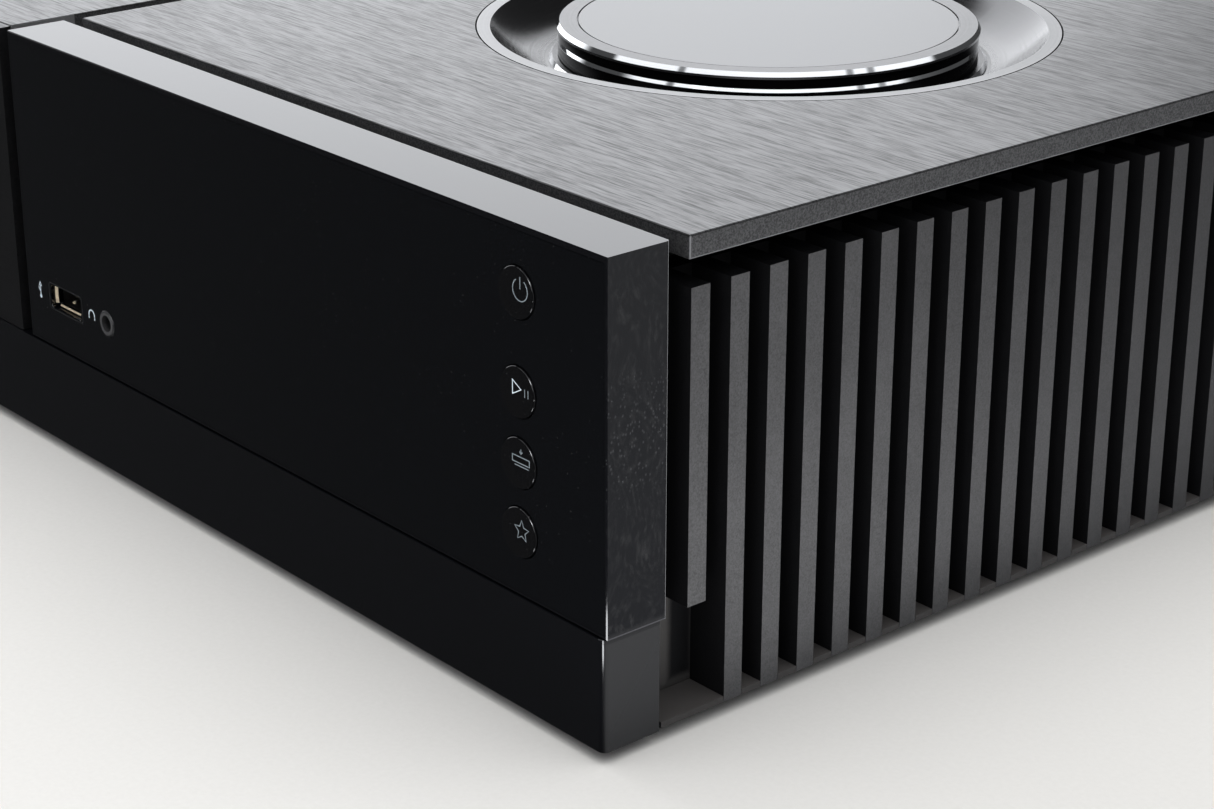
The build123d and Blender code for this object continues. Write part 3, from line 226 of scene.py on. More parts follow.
# ------------------------------------------------------------------ materials
def brushed_cover(name, top_colour, side_colour, top_rough):
    """Anodised sheet: the top is brushed along X in short strokes, the edges are finely blasted.

    On faces that look along X the upper edge is shaded, and a painted highlight lies along the lower and
    front edges.
    """
    made, tree, shader, coords = material(name, Metallic=0.9)
    place = coords.outputs["Object"]
    axes = xyz(tree, coords.outputs["Normal"])
    spot = xyz(tree, place)
    up = span(tree, axes["Z"], 0.55, 0.8)
    strokes = noise(tree, place, 1.0, 2.5, 0.65, (95, 1750, 400))
    hairs = noise(tree, place, 1.0, 3.0, 0.7, (260, 3900, 400))
    dashes = noise(tree, place, 1.0, 2.0, 0.6, (100, 1900, 300))
    drift = noise(tree, place, 1.0, 2.0, 0.5, (22, 160, 50))
    slow = noise(tree, place, 9.0, 2.0, 0.5)
    streak = plus(tree, times(tree, strokes, 0.6), times(tree, hairs, 0.34), times(tree, drift, 0.06))
    top = grainy(tree, streak, top_colour, 0.2, 1.4, 0.37, 0.54)
    top = mix(tree, span(tree, dashes, 0.58, 0.66, 0.0, 0.85), top, scaled(top_colour, 0.15))
    specks = noise(tree, place, 2900.0, 2.0, 0.6)
    side = grainy(tree, specks, side_colour, 0.65, 1.45, 0.36, 0.64)
    cover_low, cover_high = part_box("right_top_cover")
    shaded_edge = span(tree, spot["Z"], cover_high.z - 0.4 * MM, cover_high.z - 0.25 * MM)
    side = mix(tree, shaded_edge, side, scaled(side_colour, 0.2))
    # painted highlight: thin pale lines along the side's lower and front edges
    lower_line = span(tree, spot["Z"], cover_low.z + 0.2 * MM, cover_low.z + 0.1 * MM)
    front_line = span(tree, spot["Y"], cover_low.y + 0.45 * MM, cover_low.y + 0.3 * MM)
    painted_highlight_edge = times(tree, maximum(tree, lower_line, front_line), sideways(tree, axes), 0.7)
    side = mix(tree, painted_highlight_edge, side, scaled(side_colour, 4.0))
    tree.links.new(mix(tree, up, side, top), shader.inputs["Base Color"])
    top_roughness = plus(tree, span(tree, streak, 0.35, 0.65, top_rough + 0.06, top_rough - 0.05),
                         span(tree, slow, *GRAIN, -0.02, 0.02))
    tree.links.new(blend(tree, up, 0.5, top_roughness), shader.inputs["Roughness"])
    normal = tree.nodes.new("ShaderNodeMix")
    normal.data_type = "VECTOR"
    tree.links.new(up, normal.inputs[0])
    tree.links.new(bump(tree, specks, 0.02), normal.inputs[4])
    tree.links.new(bump(tree, streak, 0.02), normal.inputs[5])
    tree.links.new(normal.outputs[1], shader.inputs["Normal"])
    return made


def gloss(name, colour, smudge):
    """Polished black. Faces that look along X carry fine wiping marks and, halfway up, pale spots.

    The base bar's own such faces are a little paler and end in a line of painted shade under the block,
    whose lowest edge carries a painted thin line of light.
    """
    made, tree, shader, coords = material(name, IOR=1.5)
    place = coords.outputs["Object"]
    height = xyz(tree, place)["Z"]
    side = sideways(tree, xyz(tree, coords.outputs["Normal"]), 0.9)
    base_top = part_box("base_fascia")[1].z
    block_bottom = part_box("display_housing")[0].z
    on_block = span(tree, height, base_top - 0.15 * MM, base_top + 1.35 * MM)

    warp = node(tree, "ShaderNodeTexNoise", {"Vector": place}, Scale=55.0, Detail=1.0)
    moved = node(tree, "ShaderNodeVectorMath", {0: warp.outputs["Color"], 2: place}, operation="MULTIPLY_ADD")
    moved.inputs[1].default_value = (0.02, 0.02, 0.02)
    swirl = noise(tree, moved.outputs["Vector"], 1.0, 4.0, 0.6, (900, 900, 260))
    cloud = noise(tree, moved.outputs["Vector"], 130.0, 3.0, 0.5)
    marks = times(tree, span(tree, swirl, 0.45, 0.75, smooth=True), span(tree, cloud, *GRAIN, 0.25, 1.0),
                  blend(tree, side, 0.1, on_block))
    dots = noise(tree, place, 1500.0, 2.0, 0.5)
    dull = plus(tree, span(tree, marks, 0.0, 1.0, 0.03, 0.07), span(tree, dots, 0.62, 0.8, 0.0, 0.03))
    tree.links.new(dull, shader.inputs["Roughness"])

    cell_place = mapped(tree, place, (330, 330, 220))
    cells = node(tree, "ShaderNodeTexVoronoi", {"Vector": cell_place}, Randomness=1.0)
    chance = node(tree, "ShaderNodeSeparateColor", {"Color": cells.outputs["Color"]}).outputs[0]
    halfway_up = times(tree, span(tree, height, 46 * MM, 56 * MM, smooth=True),
                       span(tree, height, 78 * MM, 66 * MM, smooth=True))
    pale_spots = times(tree, span(tree, cells.outputs["Distance"], 0.5, 0.0, smooth=True),
                       span(tree, chance, 0.45, 1.0, 0.0, 0.8), halfway_up, side)

    shade = mix(tree, marks, colour, lifted(colour, smudge))
    on_base = times(tree, side, math_node(tree, "SUBTRACT", 1.0, on_block))
    shade = mix(tree, on_base, shade, lifted(colour, 0.016))
    # painted highlight: a thin line of light on the block's lowest edge
    lit_edge = times(tree, side, span(tree, height, block_bottom + 0.25 * MM, block_bottom + 0.18 * MM),
                     span(tree, height, block_bottom - 0.15 * MM, block_bottom - 0.05 * MM))
    shade = mix(tree, lit_edge, shade, (0.045, 0.045, 0.05))
    tree.links.new(mix(tree, pale_spots, shade, (0.17, 0.175, 0.185)), shader.inputs["Base Color"])
    # painted shade: a dark line in the joint under the block, made by dimming the polish
    joint_shade = times(tree, side, span(tree, height, base_top - 1.0 * MM, base_top - 0.85 * MM),
                   span(tree, height, base_top, base_top - 0.05 * MM))
    tree.links.new(blend(tree, joint_shade, 0.5, 0.05), shader.inputs["Specular IOR Level"])
    lacquer = noise(tree, place, 60.0, 1.0, 0.4)
    tree.links.new(bump(tree, lacquer, 0.006), shader.inputs["Normal"])
    return made


def dark_glass(name, colour):
    """Black backed glass with specks of dust and a trace of wiping."""
    made, tree, shader, coords = material(name, IOR=1.52)
    place = coords.outputs["Object"]
    wipe = noise(tree, place, 1.0, 3.0, 0.5, (12, 40, 30))
    dust = noise(tree, place, 2400.0, 1.0, 0.4)
    specks = span(tree, dust, 0.74, 0.78)
    tree.links.new(mix(tree, specks, colour, (0.05, 0.05, 0.05)), shader.inputs["Base Color"])
    tree.links.new(plus(tree, span(tree, wipe, 0.35, 0.7, 0.012, 0.05), times(tree, specks, 0.3)),
                   shader.inputs["Roughness"])
    return made


def sink_finish(name, face_colour, flank_shade_colour):
    """Black anodised extrusion: the fins' outer faces are finely blasted and darken towards the back as
    painted shade. Their flanks and tops are darker, partly as their finish and partly as painted shade.
    """
    made, tree, shader, coords = material(name)
    place = coords.outputs["Object"]
    axes = xyz(tree, coords.outputs["Normal"])
    spot = xyz(tree, place)
    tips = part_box("right_heatsink")[1].x
    reach = span(tree, math_node(tree, "ABSOLUTE", spot["X"]), tips - 0.6 * MM, tips - 0.2 * MM)
    outer = times(tree, sideways(tree, axes), reach)
    specks = noise(tree, place, 3000.0, 2.0, 0.6)
    slow = noise(tree, place, 35.0, 2.0, 0.5)
    grain = plus(tree, times(tree, specks, 0.8), times(tree, slow, 0.2))
    face = grainy(tree, grain, face_colour, 0.6, 1.4, 0.33, 0.67)
    # painted shade: the outer faces darken towards the back
    painted_rear_shade = span(tree, spot["Y"], -130 * MM, 50 * MM, 0.0, 0.4)
    face = mix(tree, painted_rear_shade, face, scaled(face_colour, 0.1))
    # the flanks and tops: a darker finish that also carries painted shade
    flank_shade = mix(tree, grain, scaled(flank_shade_colour, 0.7), flank_shade_colour)
    tree.links.new(mix(tree, outer, flank_shade, face), shader.inputs["Base Color"])
    shine = blend(tree, span(tree, axes["Z"], 0.6, 0.9), 0.12, 0.02)
    tree.links.new(blend(tree, outer, shine, 0.3), shader.inputs["Specular IOR Level"])
    tree.links.new(span(tree, grain, *GRAIN, 0.42, 0.6), shader.inputs["Roughness"])
    tree.links.new(bump(tree, specks, 0.015), shader.inputs["Normal"])
    return made


def folded_sheet(name, wall_colour, floor_sheen_colour):
    """Painted sheet. The upper side of the tray's floor and its outer edge carry a painted sheen, paler than
    the walls.

    In the pocket behind the front bar, a haze of light lies on the wall's front and lower edges.
    """
    made, tree, shader, coords = material(name)
    place = coords.outputs["Object"]
    axes = xyz(tree, coords.outputs["Normal"])
    spot = xyz(tree, place)
    side = sideways(tree, axes)
    floor_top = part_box("bottom_tray")[0].z + 1.5 * MM
    pocket_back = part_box("display_housing")[0].y + 28.25 * MM

    floor_edge = times(tree, side, span(tree, spot["Z"], floor_top + 0.1 * MM, floor_top - 0.1 * MM))
    lying = times(tree, span(tree, axes["Z"], 0.5, 0.9),
                  span(tree, spot["Z"], floor_top + 3.5 * MM, floor_top + 1.5 * MM))
    front_haze = span(tree, spot["Y"], pocket_back - 4.4 * MM, pocket_back - 6.4 * MM, smooth=True)
    lower_haze = span(tree, spot["Z"], floor_top + 2.3 * MM, floor_top - 0.1 * MM, smooth=True)
    back_haze = span(tree, spot["Y"], pocket_back - 0.7 * MM, pocket_back - 0.3 * MM, 0.0, 0.2)
    haze = times(tree, maximum(tree, front_haze, lower_haze, back_haze), side,
                 span(tree, spot["Y"], pocket_back + 0.6 * MM, pocket_back + 0.3 * MM),
                 span(tree, spot["Z"], 30 * MM, 25 * MM))

    specks = noise(tree, place, 1800.0, 4.0, 0.6)
    slow = noise(tree, place, 40.0, 2.0, 0.5)
    grain = plus(tree, times(tree, specks, 0.7), times(tree, slow, 0.3))
    wall = mix(tree, haze, grainy(tree, grain, wall_colour, 0.8, 1.2), (0.046, 0.044, 0.043))
    # painted sheen on the floor's upper side, dimmer on its outer edge
    floor = mix(tree, floor_edge, grainy(tree, grain, floor_sheen_colour, 0.85, 1.15), scaled(floor_sheen_colour, 0.55))
    tree.links.new(mix(tree, maximum(tree, lying, floor_edge), wall, floor), shader.inputs["Base Color"])
    tree.links.new(span(tree, grain, *GRAIN, 0.38, 0.52), shader.inputs["Roughness"])
    tree.links.new(bump(tree, specks, 0.02), shader.inputs["Normal"])
    return made


def turned_metal(name, colour, roughness, rings, depth, contrast=0.07, level=None, spread=0.2):
    """Metal with fine circular marks round the dial's axis; level holds level faces' colour and roughness."""
    made, tree, shader, coords = material(name, Metallic=1.0)
    place = coords.outputs["Object"]
    radius = distance_from(tree, place, DIAL_CENTRE, (1, 1, 0))
    ring = node(tree, "ShaderNodeTexNoise", {"W": radius}, noise_dimensions="1D", Scale=rings, Detail=4.0)
    specks = noise(tree, place, 700.0, 3.0, 0.6)
    marks = plus(tree, times(tree, ring.outputs["Fac"], 0.7), times(tree, specks, 0.3))
    amount = span(tree, marks, 0.35, 0.65)
    shade = mix(tree, amount, scaled(colour, 1 - contrast), colour)
    rough = span(tree, marks, 0.35, 0.65, roughness * (1 - spread), roughness * (1 + spread))
    if level:
        level_colour, level_rough = level
        flat_top = span(tree, xyz(tree, coords.outputs["Normal"])["Z"], 0.9, 0.98)
        level_shade = mix(tree, amount, scaled(level_colour, 1 - contrast), level_colour)
        shade = mix(tree, flat_top, shade, level_shade)
        level_rough = span(tree, marks, 0.35, 0.65, level_rough * 0.9, level_rough * 1.1)
        rough = blend(tree, flat_top, rough, level_rough)
    tree.links.new(shade, shader.inputs["Base Color"])
    tree.links.new(rough, shader.inputs["Roughness"])
    tree.links.new(bump(tree, marks, depth), shader.inputs["Normal"])
    return made


def socket_collar(name, colour, node_name):
    """A grey collar round a socket's hole: pale halfway across its face and dark at its rim, with painted
    shade in the hole and behind the face.
    """
    low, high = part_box(node_name)
    made, tree, shader, coords = material(name)
    place = coords.outputs["Object"]
    centre = ((low.x + high.x) / 2, 0, (low.z + high.z) / 2)
    radius = distance_from(tree, place, centre, (1, 0, 1))
    face = times(tree, span(tree, radius, 1.65 * MM, 2.05 * MM, smooth=True),
                 span(tree, radius, 2.7 * MM, 2.25 * MM, smooth=True),
                 span(tree, xyz(tree, place)["Y"], low.y + 1.2 * MM, low.y + 0.6 * MM))
    grain = noise(tree, place, 2200.0, 3.0, 0.6)
    pale = grainy(tree, grain, colour, 0.85, 1.15)
    # the dark colour is painted shade in the hole and behind the collar's face, and a dark rim at its edge
    tree.links.new(mix(tree, face, (0.006, 0.006, 0.0065), pale), shader.inputs["Base Color"])
    tree.links.new(span(tree, grain, *GRAIN, 0.42, 0.58), shader.inputs["Roughness"])
    tree.links.new(bump(tree, grain, 0.004), shader.inputs["Normal"])
    return made


finishes = {
    "sheet_black": folded_sheet("sheet_black", (0.0035, 0.0035, 0.004), (0.062, 0.058, 0.056)),
    "gloss_black": gloss("gloss_black", (0.0028, 0.003, 0.004), 0.012),
    "brushed_black": grained("brushed_black", (0.012, 0.012, 0.013), 0.34, metallic=0.4, scale=1.0,
                             stretch=(60, 900, 2200), spread=0.4, depth=0.02),
    "brushed_grey": brushed_cover("brushed_grey", (0.081, 0.081, 0.0822), (0.155, 0.155, 0.158), 0.34),
    "front_glass": dark_glass("front_glass", (0.0013, 0.0016, 0.0024)),
    "screen": grained("screen", (0.01, 0.011, 0.015), 0.12, scale=2500, spread=0.3, depth=0.002),
    "sink_black": sink_finish("sink_black", (0.05, 0.05, 0.052), (0.0045, 0.0045, 0.005)),
    "rubber_black": grained("rubber_black", (0.02, 0.02, 0.02), 0.8, scale=1200, depth=0.05),
    "screw_steel": grained("screw_steel", (0.45, 0.45, 0.47), 0.3, metallic=1.0, scale=1400),
    "polished_aluminium": turned_metal("polished_aluminium", (0.88, 0.89, 0.9), 0.05, 2500.0, 0.0003,
                                       level=((0.082, 0.082, 0.084), 0.3)),
    "satin_aluminium": turned_metal("satin_aluminium", (0.146, 0.147, 0.149), 0.32, 4200.0, 0.00002,
                                    contrast=0.01, spread=0.015),
    "dish_aluminium": turned_metal("dish_aluminium", (0.145, 0.145, 0.147), 0.18, 2200.0, 0.0005,
                                   level=((0.2, 0.2, 0.202), 0.32)),
    "smoked_acrylic": grained("smoked_acrylic", (0.002, 0.002, 0.0022), 0.06, scale=1500, rough_spread=0.02,
                              depth=0.001, specular=0.12),
    "machined_aluminium": turned_metal("machined_aluminium", (0.55, 0.55, 0.56), 0.3, 3000.0, 0.004),
    "brass_bush": grained("brass_bush", (0.62, 0.46, 0.2), 0.28, metallic=1.0, scale=1500),
    "black_plastic": grained("black_plastic", (0.018, 0.018, 0.019), 0.5, scale=2200, depth=0.03),
    "button_black": dark_glass("button_black", (0.0022, 0.0022, 0.0026)),
    "circuit_green": grained("circuit_green", (0.012, 0.09, 0.035), 0.3, scale=600, spread=0.4, depth=0.01),
    "contact_gold": grained("contact_gold", (0.85, 0.72, 0.52), 0.42, metallic=0.35, scale=1500),
    "jack_metal": socket_collar("jack_metal", (0.085, 0.085, 0.088), "headphone_jack"),
    "gear_plastic": grained("gear_plastic", (0.7, 0.68, 0.6), 0.42, scale=1500),
    "motor_steel": grained("motor_steel", (0.5, 0.5, 0.51), 0.32, metallic=1.0, scale=1200, spread=0.2),
    "lens_glass": grained("lens_glass", (0.15, 0.2, 0.4), 0.06, scale=900, coat=0.5),
    "copper_wrap": grained("copper_wrap", (0.6, 0.42, 0.12), 0.3, scale=1.0, stretch=(300, 300, 3),
                           spread=0.35, depth=0.05),
    "transistor_black": grained("transistor_black", (0.015, 0.015, 0.015), 0.6, scale=1800, depth=0.04),
    "printed_grey": grained("printed_grey", (0.2, 0.235, 0.26), 0.5, scale=2600, depth=0.002),
    "socket_red": grained("socket_red", (0.45, 0.012, 0.01), 0.35, scale=1800, depth=0.02),
    "socket_white": grained("socket_white", (0.72, 0.72, 0.69), 0.4, scale=1800, depth=0.02),
}
special = {
    # the tongue's pale blue-grey is partly its own colour and partly painted light, as little light reaches
    # it
    "usb_tongue": grained("usb_tongue_painted_light", (0.4, 0.45, 0.55), 0.5, scale=2200, depth=0.02),
    "usb_shell": grained("usb_shell_dark", (0.012, 0.011, 0.01), 0.45, scale=1800, depth=0.01),
}


def lit_print(made, strength):
    """Give a print's finish a faint glow of its own, painted light that makes it read as pale ink on black.
    """
    shader = made.node_tree.nodes["Principled BSDF"]
    shader.inputs["Emission Color"].default_value = (0.6, 0.7, 0.78, 1.0)
    shader.inputs["Emission Strength"].default_value = strength
    return made


# painted light: the prints glow a little though they are no lamps
lit_print(finishes["printed_grey"], 0.045)
bright_print = lit_print(grained("printed_pale", (0.6, 0.68, 0.74), 0.5, scale=2600, depth=0.002), 0.2)
# painted highlight: the colour of the pale ring that stands for the USB opening's lit bevel
bevel_highlight_finish = grained("bevel_highlight_grey", (0.012, 0.0123, 0.0135), 0.45, scale=2600, depth=0.002)
slots = {entry["node"]: entry["material_slot"] for entry in frame["record"]["subparts"]}
for name, piece in frame["nodes"].items():
    piece.data.materials.clear()
    piece.data.materials.append(special.get(name) or finishes[slots[name]])


# ------------------------------------------------------- small visible pieces
# Sizes of these pieces are in millimetres.
SIGN_WIDTH = 0.19
PRINT_PROUD = 0.03
STAR_OUTER = 2.05
STAR_INNER = 0.95
USB_HALF_WIDTH = 7.0
USB_HALF_HEIGHT = 3.0
USB_CORNER = 0.5
PHONO_EDGE = 9.0
SPEAKER_EDGE = 8.5
# Outlines of rings, as points of Y from a plate's face and radius.
USB_DIMPLE = ((2.4, 0.05), (2.5, 0.2), (2.8, 0.36), (3.1, 0.36), (3.1, 0.05))
PHONO_RING = ((1.2, 4.2), (1.2, 4.95), (2.6, 4.95), (2.9, 4.6), (2.9, 4.2))
SPEAKER_RING = ((2.0, 5.52), (2.0, 6.1), (2.3, 6.3), (7.7, 6.3), (8.0, 6.1), (8.0, 5.52))


def add_piece(name, points, faces, body, slot_name):
    """Make a mesh piece from points in millimetres; it rides on a body and takes a slot's finish."""
    mesh = bpy.data.meshes.new(name)
    mesh.from_pydata([tuple(c * MM for c in point) for point in points], [], faces)
    shape = bmesh.new()
    shape.from_mesh(mesh)
    bmesh.ops.recalc_face_normals(shape, faces=shape.faces)
    shape.to_mesh(mesh)
    shape.free()
    piece = bpy.data.objects.new(name, mesh)
    bpy.context.collection.objects.link(piece)
    mesh.materials.append(finishes[slot_name])
    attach(piece, body)
    return piece


def ribbon(path, width, closed):
    """Left and right edges of a flat line of even width that follows a path in the X-Z plane."""
    count = len(path)
    edges = []
    for k, (x, z) in enumerate(path):
        before = path[(k - 1) % count] if closed or k > 0 else None
        after = path[(k + 1) % count] if closed or k < count - 1 else None
        turns = []
        for start, end in ((before, (x, z)), ((x, z), after)):
            if start is None or end is None:
                continue
            dx, dz = end[0] - start[0], end[1] - start[1]
            size = math.hypot(dx, dz)
            turns.append((-dz / size, dx / size))
        nx = sum(t[0] for t in turns) / len(turns)
        nz = sum(t[1] for t in turns) / len(turns)
        reach = width / 2 / max(0.35, nx * nx + nz * nz)
        edges.append(((x - nx * reach, z - nz * reach), (x + nx * reach, z + nz * reach)))
    return edges


def marking(name, strokes, width, centre, front, body, finish=None):
    """A printed sign made of thin raised lines on a face that looks to the front. All sizes in mm."""
    points = []
    faces = []
    for path, closed in strokes:
        edges = ribbon(path, width, closed)
        base = len(points)
        for pair in edges:
            for y in (front - PRINT_PROUD, front + PRINT_PROUD):
                points += [(centre[0] + x, y, centre[1] + z) for x, z in pair]
        count = len(edges)
        for k in range(count if closed else count - 1):
            a = base + 4 * k
            b = base + 4 * ((k + 1) % count)
            faces += [(a, b, b + 1, a + 1), (a + 2, a + 3, b + 3, b + 2),
                      (a, a + 2, b + 2, b), (a + 1, b + 1, b + 3, a + 3)]
        if not closed:
            end = base + 4 * (count - 1)
            faces += [(base, base + 1, base + 3, base + 2), (end, end + 2, end + 3, end + 1)]
    sign = add_piece(name, points, faces, body, "printed_grey")
    if finish:
        sign.data.materials[0] = finish


def arc(radius, start, end, steps, middle=(0.0, 0.0)):
    """Points along an arc; angles in degrees from +X towards +Z."""
    angles = [math.radians(start + (end - start) * k / steps) for k in range(steps + 1)]
    return [(middle[0] + radius * math.cos(a), middle[1] + radius * math.sin(a)) for a in angles]


def ring_y(name, x, plate, z, profile, body, slot_name, steps=40):
    """A closed ring turned round an axis along Y; the profile is a loop of (y, radius) from a plate."""
    points = []
    faces = []
    count = len(profile)
    for k in range(steps):
        a = 2 * math.pi * k / steps
        points += [(x + r * math.cos(a), plate + y, z + r * math.sin(a)) for y, r in profile]
        here = k * count
        there = (k + 1) % steps * count
        for i in range(count):
            j = (i + 1) % count
            faces.append((here + i, here + j, there + j, there + i))
    return add_piece(name, points, faces, body, slot_name)


def spring_plate(name, centre, along, facing, length, width, thick, body):
    """A small contact plate: it runs along one direction and its bowed face looks in another."""
    u = Vector(along).normalized()
    n = (Vector(facing) - Vector(facing).dot(u) * u).normalized()
    v = n.cross(u)
    steps = 8
    most_bow = 0.12
    points = []
    faces = []
    for k in range(steps + 1):
        t = k / steps - 0.5
        bow = most_bow * (1 - 4 * t * t)
        for side, height in ((-1, bow), (1, bow), (1, -thick), (-1, -thick)):
            points.append(tuple(Vector(centre) + u * length * t + v * side * width / 2 + n * height))
        if k:
            a = 4 * (k - 1)
            for i in range(4):
                j = (i + 1) % 4
                faces.append((a + i, a + j, a + 4 + j, a + 4 + i))
    end = 4 * steps
    faces += [(0, 3, 2, 1), (end, end + 1, end + 2, end + 3)]
    return add_piece(name, points, faces, body, "contact_gold")


def evenly(first, last, count):
    """Evenly spaced numbers from first to last."""
    return [first + (last - first) * k / (count - 1) for k in range(count)]


def middle_of(node_name):
    """X and Z of the middle of a CAD node, and the Y of its front."""
    low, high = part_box(node_name)
    return ((low.x + high.x) / 2 / MM, (low.z + high.z) / 2 / MM), low.y / MM


def key_sign(key, body, shift, strokes, width=SIGN_WIDTH, finish=None):
    """A key's printed sign, set a little up and to the right of the key's middle."""
    middle, front = middle_of(key)
    centre = (middle[0] + shift[0], middle[1] + shift[1])
    marking(key.replace("_button", "_sign"), strokes, width, centre, front, body, finish)


key_sign("power_button", "power_key", (1.3, 0.8), [
    (arc(2.0, 122, 418, 28), False),
    ([(0.0, 0.15), (0.0, 2.35)], False),
])
key_sign("play_button", "play_key", (1.1, 0.8), [
    ([(-2.2, 1.3), (-2.2, -1.3), (0.15, 0.0)], True),
], 0.24, bright_print)
key_sign("input_button", "input_key", (1.0, 0.7), [
    ([(-2.4, 0.7), (-2.4, -0.5), (2.3, -0.5), (2.3, 0.7)], True),
    ([(-1.8, -1.05), (2.1, -1.05)], False),
    ([(0.0, 2.2), (0.0, 1.4)], False),
    ([(-0.4, 1.75), (0.0, 1.3), (0.4, 1.75)], False),
], 0.18)
star = []
for k in range(5):
    for offset, radius in ((0, STAR_OUTER), (36, STAR_INNER)):
        angle = math.radians(90 + 72 * k + offset)
        star.append((radius * math.cos(angle), radius * math.sin(angle)))
key_sign("favourite_button", "favourite_key", (0.95, 0.6), [(star, True)])
play_middle, play_front = middle_of("play_button")
marking("pause_sign", [([(1.75, 0.95), (1.75, -0.55)], False), ([(2.65, 0.95), (2.65, -0.55)], False)], 0.15,
        (play_middle[0] + 0.5, play_middle[1] + 0.2), play_front, "play_key")

glass_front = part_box("display_glass")[0].y / MM
usb_x, usb_z = middle_of("usb_shell")[0]
jack_x, jack_z = middle_of("headphone_jack")[0]
opening = []
for across, over in ((1, 1), (-1, 1), (-1, -1), (1, -1)):
    upright = (across * USB_HALF_WIDTH, over * (USB_HALF_HEIGHT - USB_CORNER))
    lying = (across * (USB_HALF_WIDTH - USB_CORNER), over * USB_HALF_HEIGHT)
    opening += [upright, lying] if across == over else [lying, upright]
# painted highlight: the opening's bevel drawn as a pale ring on the glass
marking("usb_bevel_highlight", [(opening, True)], 0.3, (usb_x, usb_z), glass_front, "case", bevel_highlight_finish)
marking("plug_sign", [
    ([(0.0, -1.5), (0.0, 1.1)], False),
    ([(-0.5, 1.0), (0.0, 1.8), (0.5, 1.0)], True),
    (arc(0.3, 0, 330, 11, (0.0, -1.5)), True),
    ([(-0.65, 0.7), (-0.65, 0.2), (0.0, -0.4)], False),
], 0.26, (usb_x - 10.9, usb_z + 0.15), glass_front, "case", bright_print)
marking("headphone_sign", [
    (arc(1.15, -10, 190, 20, (0.0, 0.05)), False),
    ([(-1.15, -0.3), (-1.15, -0.85)], False),
    ([(1.15, -0.3), (1.15, -0.85)], False),
], 0.3, (jack_x - 6.3, jack_z + 0.1), glass_front, "case", bright_print)

spring_plate("usb_side_spring", (usb_x - 5.75, glass_front + 1.1, usb_z + 0.1), along=(0, 0, 1),
             facing=(0.6, -0.75, 0.35), length=3.8, width=0.7, thick=0.15, body="case")
spring_plate("usb_lower_spring", (usb_x - 0.6, glass_front + 1.4, usb_z - 2.15), along=(1, 0, 0),
             facing=(0.45, -0.75, 0.5), length=8.6, width=0.42, thick=0.15, body="case")
ring_y("usb_dimple", usb_x - 1.4, glass_front, usb_z - 1.0, USB_DIMPLE, "case", "contact_gold", 16)

back_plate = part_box("rear_panel")[1].y / MM
phono_low, phono_high = (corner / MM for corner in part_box("phono_sockets"))
phono_rows = ((phono_low.z + PHONO_EDGE, "socket_red"), (phono_high.z - PHONO_EDGE, "socket_white"))
for k, x in enumerate(evenly(phono_high.x - PHONO_EDGE, phono_low.x + PHONO_EDGE, 3)):
    for z, slot_name in phono_rows:
        ring_y(f"phono_ring_{k}_{slot_name[7:]}", x, back_plate, z, PHONO_RING, "case", slot_name)
speaker_low, speaker_high = (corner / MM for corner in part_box("speaker_sockets"))
speaker_z = (speaker_low.z + speaker_high.z) / 2
for k, x in enumerate(evenly(speaker_low.x + SPEAKER_EDGE, speaker_high.x - SPEAKER_EDGE, 4)):
    ring_y(f"speaker_ring_{k}", x, back_plate, speaker_z, SPEAKER_RING, "case",
           "socket_red" if k % 2 else "transistor_black")


# ---------------------------------------------------------------- floor, light
def build_floor():
    """A plain pale table top that reaches far past the view."""
    mesh = bpy.data.meshes.new("table")
    reach = 6.0
    mesh.from_pydata([(-reach, -reach, 0), (reach, -reach, 0), (reach, reach, 0), (-reach, reach, 0)], [],
                     [(0, 1, 2, 3)])
    floor = bpy.data.objects.new("table", mesh)
    bpy.context.collection.objects.link(floor)
    made, tree, shader, coords = material("table_white")
    grain = noise(tree, coords.outputs["Object"], 900.0, 3.0, 0.6)
    slow = noise(tree, coords.outputs["Object"], 3.0, 2.0, 0.5)
    both = plus(tree, times(tree, grain, 0.5), times(tree, slow, 0.5))
    tree.links.new(mix(tree, span(tree, both, *GRAIN), (0.76, 0.745, 0.715), (0.81, 0.795, 0.765)),
                   shader.inputs["Base Color"])
    shader.inputs["Roughness"].default_value = 0.7
    shader.inputs["Specular IOR Level"].default_value = 0.2
    mesh.materials.append(made)
    floor.visible_glossy = False


build_floor()

world = bpy.data.worlds.new("studio")
bpy.context.scene.world = world
world.use_nodes = True
sky = world.node_tree
sky.nodes.clear()
where = sky.nodes.new("ShaderNodeTexCoord")
split = xyz(sky, where.outputs["Generated"])
east, north, up = split["X"], split["Y"], split["Z"]


def sine(degrees):
    """The height on the world's sphere of an elevation."""
    return math.sin(math.radians(degrees))


def bearing(azimuth, reach, soft):
    """1 within reach degrees of an azimuth, and falling to 0 over the next soft degrees."""
    a = math.radians(azimuth)
    along = plus(sky, times(sky, east, math.cos(a)), times(sky, north, math.sin(a)))
    across = plus(sky, times(sky, north, math.cos(a)), times(sky, east, -math.sin(a)))
    angle = math_node(sky, "ABSOLUTE", math_node(sky, "ARCTAN2", across, along))
    return span(sky, angle, math.radians(reach + soft), math.radians(reach), smooth=True)


def tilt(low, high, soft):
    """1 between two elevations in degrees, fading over soft degrees outside them."""
    return times(sky, span(sky, up, sine(low - soft), sine(low), smooth=True),
                 span(sky, up, sine(high + soft), sine(high), smooth=True))


def lobe(strength, azimuth, reach, fade, low, high, soft):
    """A patch of light: a stretch of bearings and of elevations, each with its own fade, in degrees."""
    return times(sky, bearing(azimuth, reach, fade), tilt(low, high, soft), strength)


